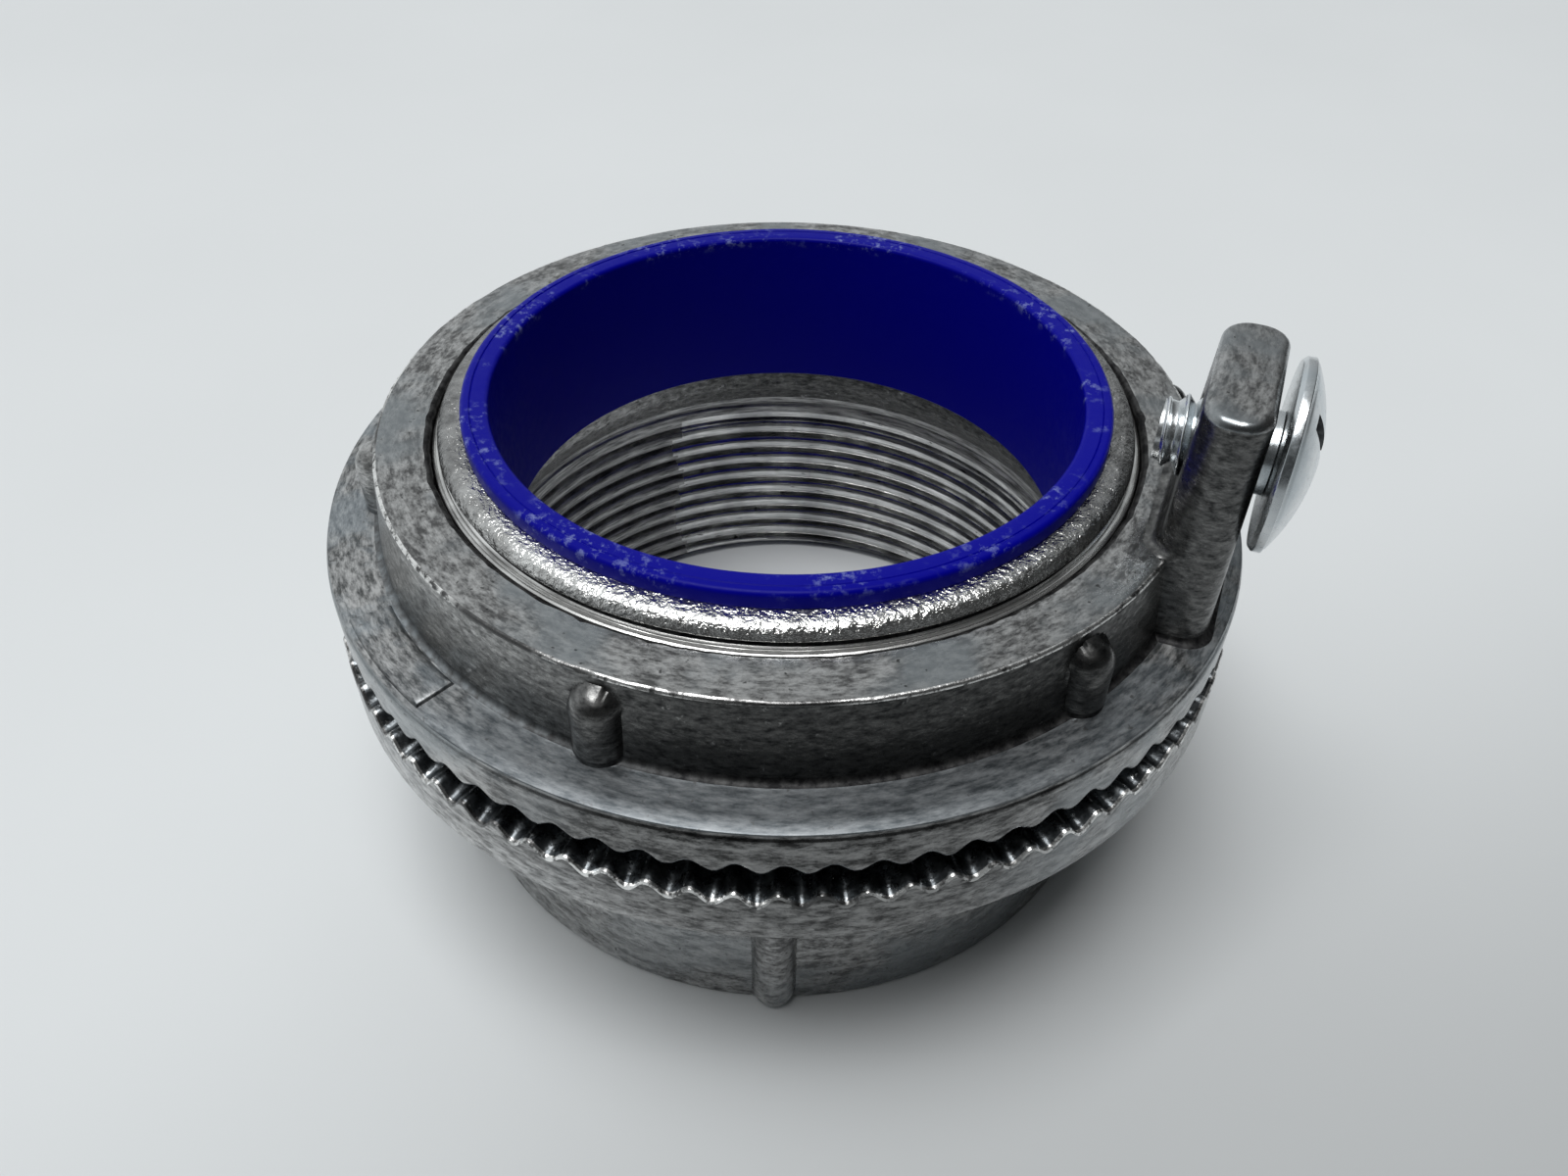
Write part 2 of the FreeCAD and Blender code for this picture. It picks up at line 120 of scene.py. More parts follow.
class HubBodySizes(bpy.types.PropertyGroup):
    """Sizes of the hub casting."""

    flange_radius: length("Flange radius", "Outside of the toothed rim", HUB_HIGH[0])
    flange_under: length("Flange underside", "Height of the flange's lower face", 21.2 * MM)
    tooth_tip: length("Tooth tips", "Height of the tooth crests", 26.8 * MM)
    tooth_depth: length("Tooth depth", "Depth of a notch at the rim", 1.4 * MM)
    tooth_inner: length("Toothed rim inside", "Inner radius of the toothed rim", 34.3 * MM)
    notch_length: length("Notch length", "From the rim to where a notch runs out", 5.0 * MM)
    tooth_count: IntProperty(name="Teeth", description="Teeth round the flange", default=80, min=12)
    first_notch: angle("First notch", "Turned from the lug", 1.1)
    groove_floor: length("Seal groove floor", "Height of the seal groove's floor", SEAL_LOW[2])
    barrel_radius: length("Barrel radius", "Outside of the barrel", 32.5 * MM)
    rib_radius: length("Rib half width", "Half width of a grip rib", 1.9 * MM)
    rib_inset: length("Rib inset", "Rib axis inside the barrel's face", 0.2 * MM)
    rib_lift: length("Rib lift", "Foot of a rib above the conduit-end face", 0.2 * MM)
    rib_count: IntProperty(name="Ribs", description="Grip ribs round the barrel", default=6, min=1)
    first_rib: angle("First rib", "Turned from the lug", -9.3)
    thread_radius: length("Thread crests", "Crest radius of the conduit thread at the face",
                          MOUNT_RADII["conduit_thread"])
    thread_depth: length("Thread depth", "Depth of the conduit thread", 1.15 * MM)
    thread_top: length("Thread top", "Where the conduit thread has run out", 22.6 * MM)
    throat_radius: length("Throat radius", "Bore that holds the liner", 26.4 * MM)
    throat_start: length("Throat start", "Height where the throat bore starts", 25.3 * MM)
    nipple_top: length("Nipple end", "Height of the nipple's end", HUB_HIGH[2])


class LocknutSizes(bpy.types.PropertyGroup):
    """Sizes of the locknut casting."""

    flange_radius: length("Flange radius", "Outside of the toothed rim", NUT_HIGH[0])
    tooth_tip: length("Tooth tips", "Height of the tooth crests", NUT_LOW[2])
    tooth_depth: length("Tooth depth", "Depth of a notch at the rim", 1.1 * MM)
    tooth_inner: length("Toothed rim inside", "Inner radius of the toothed rim", 34.3 * MM)
    notch_length: length("Notch length", "From the rim to where a notch runs out", 5.0 * MM)
    tooth_count: IntProperty(name="Teeth", description="Teeth round the flange", default=75, min=12)
    first_notch: angle("First notch", "Turned from the lug", -0.9)
    flange_top: length("Flange top", "Height of the flange's upper face", 33.15 * MM)
    ring_top: length("Ring top", "Height of the ring's upper face", 40.25 * MM)
    ring_radius: length("Ring radius", "Outside of the ring at its top", 34.2 * MM)
    ring_draft: length("Ring draft", "Growth in radius from top to foot", 0.8 * MM)
    bore_radius: length("Bore radius", "Bore over the nipple's crests", NIPPLE_RADIUS + 0.07 * MM)
    ear_radius: length("Ear half width", "Half width of a wrench ear", 2.0 * MM)
    ear_axis: length("Ear axis", "Distance of an ear's axis from the hub's", 34.3 * MM)
    ear_drop: length("Ear drop", "Ear top below the ring's top", 1.0 * MM)
    ear_count: IntProperty(name="Ears", description="Wrench ears round the ring", default=6, min=1)
    first_ear: angle("First ear", "Turned from the lug", 30)
    plate_start: angle("Plate start", "First end of the raised plate, turned from the lug", -128)
    plate_span: angle("Plate span", "Angle that the raised plate covers", 17)
    plate_margin: length("Plate margin", "Flange left free along the plate", 0.6 * MM)
    plate_height: length("Plate height", "Plate above the flange", 0.35 * MM)
    lug_inner: length("Lug inner face", "Distance of the lug's inner face from the axis", 32.7 * MM)
    lug_outer: length("Lug outer face", "Distance of the lug's outer face from the axis", 37.6 * MM)
    lug_width: length("Lug width", "Width of the lug along the rim at its top", 14.4 * MM)
    lug_spread: length("Lug spread", "Growth of the lug's half width down to its foot", 1.3 * MM)
    lug_lean: length("Lug lean", "Growth of the lug inwards down to its foot", 0.7 * MM)
    lug_top: length("Lug top", "Height of the lug's top", NUT_HIGH[2])
    lug_corner: length("Lug corner", "Round on the lug's upright corners", 2.2 * MM)
    lug_edge: length("Lug edge", "Round on the lug's top edge", 0.7 * MM)
    ring_fillet: length("Ring fillet", "Cast fillet where the lug meets the ring's top", 1.1 * MM)
    foot_fillet: length("Foot fillet", "Cast fillet at the foot of the ring", 0.55 * MM)
    lug_fillet: length("Lug fillet", "Cast fillet at the foot of the lug", 0.5 * MM)


class LinerSizes(bpy.types.PropertyGroup):
    """Sizes of the throat liner."""

    inner_radius: length("Inside", "Inner radius of the liner", MOUNT_RADII["wire_throat"])
    outer_radius: length("Outside", "Outer radius of the sleeve", 26.35 * MM)
    lip_radius: length("Lip", "Outer radius of the lip", LINER_HIGH[0])
    bottom: length("Lower end", "Height of the sleeve's lower end", LINER_LOW[2])
    seat: length("Lip seat", "Height of the lip's underside", HUB_HIGH[2])
    top: length("Top", "Height of the lip's top", LINER_HIGH[2])


class SealSizes(bpy.types.PropertyGroup):
    """Sizes of the sealing ring."""

    inner_radius: length("Inside", "Inner radius of the ring", NIPPLE_RADIUS + 0.2 * MM)
    outer_radius: length("Outside", "Outer radius of the ring", SEAL_HIGH[0])
    bottom: length("Bottom", "Height of the ring's lower face", SEAL_LOW[2])
    top: length("Top", "Height of the ring's upper face", SEAL_HIGH[2])


class ScrewSizes(bpy.types.PropertyGroup):
    """Sizes of the bonding screw."""

    axis_height: length("Axis height", "Height of the screw's axis", (SCREW_LOW[2] + SCREW_HIGH[2]) / 2)
    tip: length("Tip", "Distance of the screw's end from the hub's axis", SCREW_LOW[0])
    head_under: length("Head underside", "Distance of the head's underside from the hub's axis", 38.5 * MM)
    crown: length("Crown", "Distance of the crown from the hub's axis", SCREW_HIGH[0])
    radius: length("Thread crests", "Crest radius of the screw thread", MOUNT_RADII["bonding_terminal"])
    thread_depth: length("Thread depth", "Depth of the screw thread", 0.78 * MM)
    head_radius: length("Head radius", "Radius of the head", SCREW_HIGH[1] - 0.003 * MM)
    head_rim: length("Head rim", "Straight rim of the head", 0.95 * MM)
    recess_width: length("Recess width", "Width of the cross recess's arms", 1.5 * MM)
    recess_span: length("Recess span", "Cross recess from end to end", 4.8 * MM)
    recess_depth: length("Recess depth", "Depth of the cross recess below the crown", 1.4 * MM)
    recess_turn: angle("Recess turn", "Turn of the recess and slot about the screw's axis", -62)
    slot_width: length("Slot width", "Width of the driver slot through the recess", 1.7 * MM)
    slot_depth: length("Slot depth", "Depth of the driver slot below the crown", 1.25 * MM)
    neck: length("Neck", "Plain neck between thread and head", 1.0 * MM)


class Finishes(bpy.types.PropertyGroup):
    """Colours of the finishes."""

    zinc_dark: colour("Cast zinc, dark", "Dark patches of the cast skin", (0.10, 0.10, 0.10))
    zinc_light: colour("Cast zinc, light", "Light patches of the cast skin", (0.50, 0.50, 0.495))
    zinc_blue: colour("Cast zinc, bluish", "Smooth patches of the cast skin", (0.27, 0.295, 0.31))
    zinc_bright: colour("Cut zinc", "Cut threads and worn edges", (0.92, 0.92, 0.905))
    liner_blue: colour("Liner", "Blue plastic of the liner", (0.0004, 0.0006, 0.25))
    liner_scuff: colour("Liner scuffs", "Whitened scuffs on the lip", (0.16, 0.19, 0.46))
    seal_black: colour("Seal", "Black rubber of the seal", (0.018, 0.018, 0.019))
    plated_steel: colour("Plated steel", "Bright plating of the screw", (0.76, 0.78, 0.79))
    floor: colour("Floor", "Pale paper that the hub stands on", (0.72, 0.745, 0.755))


class ConduitHubSettings(bpy.types.PropertyGroup):
    """Everything a user would change."""

    hub_body: PointerProperty(type=HubBodySizes)
    locknut: PointerProperty(type=LocknutSizes)
    liner: PointerProperty(type=LinerSizes)
    seal: PointerProperty(type=SealSizes)
    screw: PointerProperty(type=ScrewSizes)
    finishes: PointerProperty(type=Finishes)


# Sections and loops.

def rounded(corners, steps=4):
    """Points of a section from its corners; a corner is (across, up, round)."""
    points = []
    for index, (across, up, round_radius) in enumerate(corners):
        here = Vector((across, up))
        if not round_radius or index in (0, len(corners) - 1):
            points.append((across, up))
            continue
        back = (Vector(corners[index - 1][:2]) - here).normalized()
        ahead = (Vector(corners[index + 1][:2]) - here).normalized()
        half = back.angle(ahead) / 2
        centre = here + (back + ahead).normalized() * (round_radius / math.sin(half))
        start = here + back * (round_radius / math.tan(half)) - centre
        end = here + ahead * (round_radius / math.tan(half)) - centre
        sweep = start.angle_signed(end)
        for step in range(steps + 1):
            points.append(tuple(centre + Matrix.Rotation(-sweep * step / steps, 2) @ start))
    return points


def divided(points, longest):
    """The same line with points added, so that no stretch is over the longest."""
    result = [points[0]]
    for start, end in zip(points, points[1:]):
        parts = max(1, math.ceil(math.dist(start, end) / longest))
        for part in range(1, parts + 1):
            share = part / parts
            result.append(tuple(a + (b - a) * share for a, b in zip(start, end)))
    return result


def even_angles(count, first=0.0):
    """Angles evenly round a turn, in order from zero."""
    return np.sort(np.mod(first + np.arange(count) / count * TURN, TURN))


def crowded_angles(centres, half_span, inside, outside):
    """Angles round a turn, close together near each centre."""
    step = TURN / len(centres)
    angles = []
    for centre in centres:
        angles.extend(np.linspace(centre - half_span, centre + half_span, inside))
        angles.extend(np.linspace(centre + half_span, centre + step - half_span, outside + 2)[1:-1])
    return np.sort(np.mod(angles, TURN))


def round_loop(angles, radius, height):
    """Points about the hub's axis; radius and height are numbers or one value for each angle."""
    return np.column_stack((radius * np.cos(angles), radius * np.sin(angles), height + 0 * angles))


PLAIN_ANGLES = even_angles(PLAIN_COLUMNS)


def plain_loops(section):
    """A loop of a plain wall for each point of its section."""
    return [round_loop(PLAIN_ANGLES, *point) for point in section]


def off_centre(angles, centre):
    """Signed angle from a centre, within half a turn."""
    return np.mod(angles - centre + math.pi, TURN) - math.pi


def smooth_step(share):
    """An S-curve from 0 to 1."""
    share = np.clip(share, 0, 1)
    return share * share * (3 - 2 * share)


def blended_max(first, second, softness):
    """The larger of two values, with a fillet of the given softness where they cross."""
    share = np.clip(0.5 + 0.5 * (second - first) / softness, 0, 1)
    return first + (second - first) * share + softness * share * (1 - share)


def rough_line(angles, radius, size, seed):
    """Uneven values from -1 to 1 round a turn, with features of about the given size."""
    reach = radius / size
    return np.array([
        noise.noise(Vector((math.cos(turn) * reach, math.sin(turn) * reach, seed))) for turn in angles
    ])


def added_object(name, data):
    """A new object of the data, in the scene."""
    obj = bpy.data.objects.new(name, data)
    bpy.context.scene.collection.objects.link(obj)
    return obj


def finished_mesh(name, draft):
    """A mesh made of a draft, which is freed."""
    mesh = bpy.data.meshes.new(name)
    draft.to_mesh(mesh)
    draft.free()
    return mesh


class Skin:
    """A mesh in the making: loops of points joined by bands of faces, each band with a finish."""

    def __init__(self):
        self.points = []
        self.faces = []
        self.finishes = []

    def loop(self, points):
        """Adds points and gives their places."""
        first = len(self.points)
        self.points.extend(np.asarray(points, dtype=float).tolist())
        return list(range(first, len(self.points)))

    def face(self, corners, finish):
        """Adds one face."""
        self.faces.append(tuple(corners))
        self.finishes.append(finish)

    def band(self, lower, upper, finish=0):
        """Joins two closed loops, by quads where they have as many points and else by triangles."""
        if len(lower) != len(upper):
            self.stitch(lower, upper, finish)
            return
        for index, corner in enumerate(lower):
            after = (index + 1) % len(lower)
            self.face((corner, lower[after], upper[after], upper[index]), finish)

    def stitch(self, lower, upper, finish):
        """Triangles between two loops of unlike count, by their angles about the hub's axis."""
        lower_turns = self.turns(lower)
        upper_turns = self.turns(upper)
        low = high = 0
        while low < len(lower) or high < len(upper):
            corner = lower[low % len(lower)]
            across = upper[high % len(upper)]
            if high == len(upper) or (low < len(lower) and lower_turns[low + 1] <= upper_turns[high + 1]):
                low += 1
                self.face((corner, lower[low % len(lower)], across), finish)
            else:
                high += 1
                self.face((corner, upper[high % len(upper)], across), finish)

    def turns(self, loop):
        """Angles of a loop's points about the hub's axis, with the first again at the end."""
        angles = [math.atan2(self.points[place][1], self.points[place][0]) % TURN for place in loop]
        return [*angles, angles[0] + TURN]

    def bands(self, loops, finish=0):
        """Joins loops one to the next and gives the first and last."""
        first = last = None
        for points in loops:
            places = self.loop(points)
            if last is None:
                first = places
            else:
                self.band(last, places, finish)
            last = places
        return first, last

    def carry_on(self, end, loops, finish=0):
        """Joins loops one to the next, the first of them to an end loop, and gives the last."""
        first, last = self.bands(loops, finish)
        self.band(end, first, finish)
        return last

    def cap(self, loop, centre, finish=0):
        """Closes a loop with triangles to a centre."""
        middle = self.loop([centre])[0]
        for index, corner in enumerate(loop):
            self.face((corner, loop[(index + 1) % len(loop)], middle), finish)

    def piece(self, name, materials):
        """The finished object: welded, with its normals outward, smooth but for sharp edges."""
        mesh = bpy.data.meshes.new(name)
        mesh.from_pydata(self.points, [], self.faces)
        mesh.polygons.foreach_set("material_index", self.finishes)
        draft = bmesh.new()
        draft.from_mesh(mesh)
        bmesh.ops.remove_doubles(draft, verts=draft.verts, dist=WELD_DISTANCE)
        bmesh.ops.recalc_face_normals(draft, faces=draft.faces)
        draft.to_mesh(mesh)
        draft.free()
        mesh.shade_smooth()
        mesh.set_sharp_from_angle(angle=SHARP_ANGLE)
        for material in materials:
            mesh.materials.append(material)
        return added_object(name, mesh)

    def add_mesh(self, mesh):
        """Takes over the points and faces of a finished mesh."""
        places = self.loop([vertex.co for vertex in mesh.vertices])
        for polygon in mesh.polygons:
            self.face([places[index] for index in polygon.vertices], polygon.material_index)


# A thread's rows go from crest to crest; shares of the pitch.
CONDUIT_CREST = 0.70
NIPPLE_CREST = 0.40
SCREW_CREST = 0.26
ROOT_SHARE = 0.10
EDGE_SHARE = 0.035
# How far the crest falls away to its edges, as a share of the thread's depth.
CREST_ROUNDING = 0.24


def thread_phases(crest_share):
    """Places across one pitch where a thread's form has its corners, from one crest's middle to the next."""
    crest = crest_share / 2
    root = ROOT_SHARE / 2
    side = [crest / 3, crest * 2 / 3, crest - EDGE_SHARE, crest, crest + EDGE_SHARE, 0.5 - root]
    return [0.0, *side, *[1 - place for place in reversed(side)]]


def thread_groove(phase, crest_share):
    """How deep a place across the pitch lies, from 0 on the rounded crest to 1 in the root."""
    from_crest = 0.5 - np.abs(np.mod(phase, 1) - 0.5)
    crest = crest_share / 2
    rounding = CREST_ROUNDING * np.clip(from_crest / crest, 0, 1) ** 2
    flank = np.clip((from_crest - crest) / (0.5 - crest - ROOT_SHARE / 2), 0, 1)
    return rounding + (1 - CREST_ROUNDING) * flank


def thread_rows(skin, thread, form, finish_of, columns):
    """A right-hand thread about the axis, its rows laid along the helix so that the crests stay sharp.

    thread is (bottom, top, pitch, crest share), form(height, groove) gives the radius and
    finish_of(angle, turn) the finish. Gives the two end loops.
    """
    bottom, top, pitch, crest_share = thread
    angles = even_angles(columns)
    phases = thread_phases(crest_share)
    turns = math.ceil((top - bottom) / pitch) + 1
    rows = []
    for turn in range(turns + 1):
        for phase in phases:
            height = np.clip(bottom + pitch * (turn - 1 + phase + angles / TURN), bottom, top)
            groove = thread_groove((height - bottom) / pitch - angles / TURN, crest_share)
            rows.append(skin.loop(round_loop(angles, form(height, groove), height)))
    for row, lower in enumerate(rows[:-1]):
        upper = rows[row + 1]
        ahead = min(row + len(phases), len(rows) - 1)
        ahead_upper = min(row + 1 + len(phases), len(rows) - 1)
        for column in range(columns):
            finish = finish_of(angles[column], row // len(phases))
            if column < columns - 1:
                skin.face((lower[column], lower[column + 1], upper[column + 1], upper[column]), finish)
            else:
                skin.face((lower[column], rows[ahead][0], rows[ahead_upper][0], upper[column]), finish)
    return rows[0], rows[-1]


# How a notch's depth spreads over half a tooth's step, from its floor to where it is open.
NOTCH_FLOOR_SHARE = 0.04
NOTCH_OPEN_SHARE = 0.96
# The most that a crest is worn down or chipped, the size of a chip, and the share by which some notches
# are shallower.
CREST_WEAR = 0.13 * MM
CHIP_DEPTH = 0.14 * MM
CHIP_SIZE = 0.9 * MM
SHALLOW_SHARE = 0.22
# The round on the edges of a toothed face, and the loops along its notches.
TOOTH_EDGE = 0.3 * MM
NOTCH_LOOPS = 7


def tooth_wave(angles, sizes):
    """For each angle, how deep it lies in its notch from 0 to 1, and how far its crest has gone down."""
    step = (angles - sizes.first_notch) / TURN * sizes.tooth_count
    away = np.abs(np.mod(step + 0.5, 1) - 0.5) * 2
    notch = 1 - smooth_step((away - NOTCH_FLOOR_SHARE) / (NOTCH_OPEN_SHARE - NOTCH_FLOOR_SHARE))
    draws = np.random.default_rng(sizes.tooth_count)
    wear = CREST_WEAR * draws.uniform(0, 1, sizes.tooth_count)
    shallow = 1 - SHALLOW_SHARE * draws.uniform(0, 1, sizes.tooth_count)
    chips = CHIP_DEPTH * np.clip(rough_line(angles, sizes.flange_radius, CHIP_SIZE, sizes.tooth_count), 0, 1)
    gone = (wear[np.floor(step).astype(int) % sizes.tooth_count] + chips) * (1 - notch)
    return notch * shallow[np.round(step).astype(int) % sizes.tooth_count], gone


def tooth_section(sizes, way):
    """Corners of a toothed face, from its inner edge over the crests to its rim; see toothed_rim."""
    tip = sizes.tooth_tip
    rim = sizes.flange_radius
    radii = np.linspace(rim - sizes.notch_length, rim - TOOTH_EDGE, NOTCH_LOOPS)
    return [
        (sizes.tooth_inner, tip + way * TOOTH_EDGE, 1),
        (sizes.tooth_inner + TOOTH_EDGE, tip, 1),
        *[(radius, tip, 1) for radius in radii],
        (rim - 0.3 * TOOTH_EDGE, tip + way * 0.25 * TOOTH_EDGE, 1),
        (rim, tip + way * TOOTH_EDGE, 1),
    ]


def toothed_rim(skin, end, sizes, section, way, finish_of):
    """Carries a skin on from an end loop over a flange's toothed face and rim, and gives the last loop.

    A corner of the section is (radius, height, share of the notch's depth).
    way is -1 where the teeth point up.
    """
    angles = even_angles(sizes.tooth_count * TOOTH_COLUMNS, sizes.first_notch)
    notch, gone = tooth_wave(angles, sizes)
    run_out = sizes.flange_radius - sizes.notch_length
    first = last = None
    for radius, height, share in section:
        depth = sizes.tooth_depth * np.clip((radius - run_out) / sizes.notch_length, 0, 1)
        places = skin.loop(round_loop(angles, radius, height + way * share * (depth * notch + gone)))
        if last is None:
            first = places
        else:
            skin.band(last, places, finish_of(radius, height, share))
        last = places
    skin.band(end, first, CAST)
    return last


# Ribs and ears: the fillet along their sides, the angle that their columns cover to either side, and the
# columns on a rib, on an ear and from one to the next.
POST_FILLET = 0.45 * MM
POST_HALF_SPAN = math.radians(5.5)
RIB_COLUMNS = 37
EAR_COLUMNS = 41
COLUMNS_BETWEEN = 16


def spaced(first, count):
    """Angles evenly round a turn, from the first on."""
    return [first + index * TURN / count for index in range(count)]


def posts_on_wall(angles, wall, height, posts):
    """Radius of a wall with half-round posts cast on it; posts is (centres, axis, half width, low, high)."""
    centres, axis, half_width, low, high = posts
    radius = np.full_like(angles, wall)
    rise = max(low + half_width - height, height - high + half_width, 0)
    for centre in centres:
        across = off_centre(angles, centre) * wall
        reach = np.sqrt(np.clip(half_width ** 2 - across ** 2 - rise ** 2, 0, None))
        near = np.abs(across) < 2 * half_width
        radius[near] = blended_max(radius, axis + reach - (reach == 0) * half_width, POST_FILLET)[near]
    return radius


def post_loops(angles, section, posts):
    """A loop for each point of a wall's section, with the posts on it."""
    return [round_loop(angles, posts_on_wall(angles, radius, height, posts), height)
            for radius, height in section]


# The conduit thread narrows by one part in this many of its height, from a chamfer at its mouth. It runs out
# over some pitches, to a share of its depth.
CONDUIT_TAPER = 32
MOUTH_CHAMFER = 1.1 * MM
RUN_OUT_PITCHES = 2
RUN_OUT_SHARE = 0.08
# The stretch of the conduit thread that stayed dull and how ragged its start is, in degrees from the lug.
DULL_START = 137
DULL_END = 265
DULL_RAGGED = 3
# Turns of the conduit thread that the tap cut in full.
FULL_TURNS = 10


def conduit_bore(skin, sizes):
    """The conduit thread and the throat above it; gives the loops at the mouth and at the throat's end."""

    def form(height, groove):
        taper = sizes.thread_radius - height / CONDUIT_TAPER
        fade = np.clip((sizes.thread_top - height) / (RUN_OUT_PITCHES * PIPE_PITCH), RUN_OUT_SHARE, 1)
        chamfer = sizes.thread_radius + MOUTH_CHAMFER - height
        return np.maximum(taper + sizes.thread_depth * groove * fade, chamfer)

    def finish_of(angle, turn):
        ragged = DULL_START + DULL_RAGGED * noise.noise(Vector((turn * 1.7, 0.3, 0)))
        dull = turn >= FULL_TURNS or ragged < math.degrees(angle) < DULL_END
        return DULL_CUT if dull else BRIGHT_CUT

    thread = (0, sizes.thread_top, PIPE_PITCH, CONDUIT_CREST)
    mouth, thread_end = thread_rows(skin, thread, form, finish_of, PLAIN_COLUMNS)
    throat = rounded([
        (sizes.thread_radius - 0.9 * MM, sizes.thread_top + 0.3 * MM, 0),
        (sizes.throat_radius + 0.2 * MM, sizes.throat_start - 0.6 * MM, 0.8 * MM),
        (sizes.throat_radius, sizes.throat_start + 1.2 * MM, 0),
        (sizes.throat_radius, sizes.nipple_top, 0),
    ])
    # The throat gets the painted shade of walls.
    return mouth, skin.carry_on(thread_end, plain_loops(divided(throat, 4 * MM)), SHADED_WALL)


# The nipple's end, over its collar, into the undercut and along a turned land with two fine grooves: steps in
# from the nipple's radius, drops from its end and rounds, in millimetres.
NIPPLE_END = ((0.75, 0, 1.15), (0.6, 1.05, 0.12), (1.15, 1.45, 0.2), (0.9, 1.75, 0), (0.68, 1.81, 0),
              (0.62, 1.90, 0), (0.55, 1.83, 0), (0.36, 1.86, 0), (0.30, 1.95, 0), (0.23, 1.89, 0),
              (0.05, 1.98, 0.1), (0.05, 2.9, 0))
# How far below the nipple's end the collar, the undercut and the land stop.
COLLAR_DROP = 1.35 * MM
UNDERCUT_DROP = 1.8 * MM
LAND_DROP = 2.9 * MM
# The nipple's crests lie a little inside its radius; its thread starts above the hub's teeth.
NIPPLE_EASE = 0.05 * MM
NIPPLE_THREAD_DEPTH = 0.95 * MM
NIPPLE_LIFT = 0.3 * MM


def nipple(skin, sizes, throat_end):
    """The nipple: its end, its thread and the seal groove at its foot; gives the groove's outer loop."""
    top = sizes.nipple_top
    crests = NIPPLE_RADIUS - NIPPLE_EASE
    shoulder = rounded([
        (sizes.throat_radius, top, 0),
        *[(NIPPLE_RADIUS - inset * MM, top - drop * MM, turn * MM) for inset, drop, turn in NIPPLE_END],
    ])
    collar_low = top - COLLAR_DROP
    undercut_low = top - UNDERCUT_DROP
    collar = [point for point in shoulder if point[1] > collar_low]
    undercut = [point for point in shoulder if undercut_low < point[1] <= collar_low]
    land = [point for point in shoulder if point[1] <= undercut_low]
    end = throat_end
    # The collar gets its painted highlight, the undercut the painted shade of inner corners.
    for section, finish in ((collar, COLLAR), (undercut, SHADED_CORNER), (land, TURNED)):
        end = skin.carry_on(end, plain_loops(section), finish)

    low = sizes.tooth_tip + NIPPLE_LIFT
    high = top - LAND_DROP

    def form(height, groove):
        fade = np.clip(np.minimum(high - height, height - low) / PIPE_PITCH, 0, 1)
        return crests - NIPPLE_THREAD_DEPTH * groove * fade

    thread = (low, high, PIPE_PITCH, NIPPLE_CREST)
    low_end, high_end = thread_rows(skin, thread, form, lambda angle, turn: TURNED, COVERED_COLUMNS)
    skin.band(end, high_end, TURNED)
    groove = [(crests, sizes.groove_floor), (sizes.tooth_inner - 1.0 * MM, sizes.groove_floor)]
    return skin.carry_on(low_end, plain_loops(groove), CAST)


def hub_rim(skin, sizes, groove_end):
    """The hub's toothed flange; gives the loop on its underside."""
    tip = sizes.tooth_tip
    rim = sizes.flange_radius
    root = tip - sizes.tooth_depth
    underside = rounded([
        (rim, root - 5 * TOOTH_EDGE, 0),
        (rim, sizes.flange_under, 0.6 * MM),
        (sizes.barrel_radius + 3 * MM, sizes.flange_under, 0),
    ])
    section = [
        (sizes.tooth_inner, sizes.groove_floor, 0),
        *tooth_section(sizes, -1),
        (rim, tip - 2.6 * TOOTH_EDGE, 0.92),
        (rim, root - 3 * TOOTH_EDGE, 0.2),
        *[(radius, height, 0) for radius, height in underside],
    ]

    def finish_of(radius, height, share):
        if share == 1 and radius > rim - TOOTH_EDGE and height < tip:
            return WORN
        # Toothed faces get painted shade.
        return NOTCHED if share == 1 else CAST

    return toothed_rim(skin, groove_end, sizes, section, -1, finish_of)


# The barrel's closely divided stretch, where the ribs' round feet are.
RIB_FOOT_TOP = 5 * MM
RIB_FOOT_LOW = 0.5 * MM


def barrel(skin, sizes, rim_end, mouth):
    """The barrel with its grip ribs, from the flange down to the thread's mouth."""
    ribs = spaced(sizes.first_rib, sizes.rib_count)
    columns = crowded_angles(ribs, POST_HALF_SPAN, RIB_COLUMNS, COLUMNS_BETWEEN)
    wall = sizes.barrel_radius
    posts = (ribs, wall - sizes.rib_inset, sizes.rib_radius, sizes.rib_lift, math.inf)
    upper = rounded([
        (wall + 2.2 * MM, sizes.flange_under, 0),
        (wall, sizes.flange_under, 1.1 * MM),
        (wall, RIB_FOOT_TOP, 0),
    ])
    feet = [(wall, RIB_FOOT_TOP), (wall, RIB_FOOT_LOW)]
    edge = rounded([(wall, RIB_FOOT_LOW, 0), (wall, 0, 0.45 * MM), (wall - 1.0 * MM, 0, 0)])
    section = divided(upper, 2 * MM) + divided(feet, 0.35 * MM)[1:] + edge[1:]
    barrel_end = skin.carry_on(rim_end, post_loops(columns, section, posts), CAST)
    skin.band(barrel_end, mouth, CAST)


def hub_body_skin(sizes):
    """The hub casting: conduit thread, throat, nipple, toothed flange and ribbed barrel in one skin."""
    skin = Skin()
    mouth, throat_end = conduit_bore(skin, sizes)
    groove_end = nipple(skin, sizes, throat_end)
    rim_end = hub_rim(skin, sizes, groove_end)
    barrel(skin, sizes, rim_end, mouth)
    return skin


# Steps up a cast fillet, as shares of its radius, and steps round a quarter of the lug's outline.
FILLET_STEPS = (0, 0.06, 0.18, 0.4, 0.7, 1)
CORNER_STEPS = 8
# The lug's hole over the screw's crests, and the length of the drill that cuts it.
HOLE_CLEARANCE = 0.05 * MM
DRILL_LENGTH = 0.1


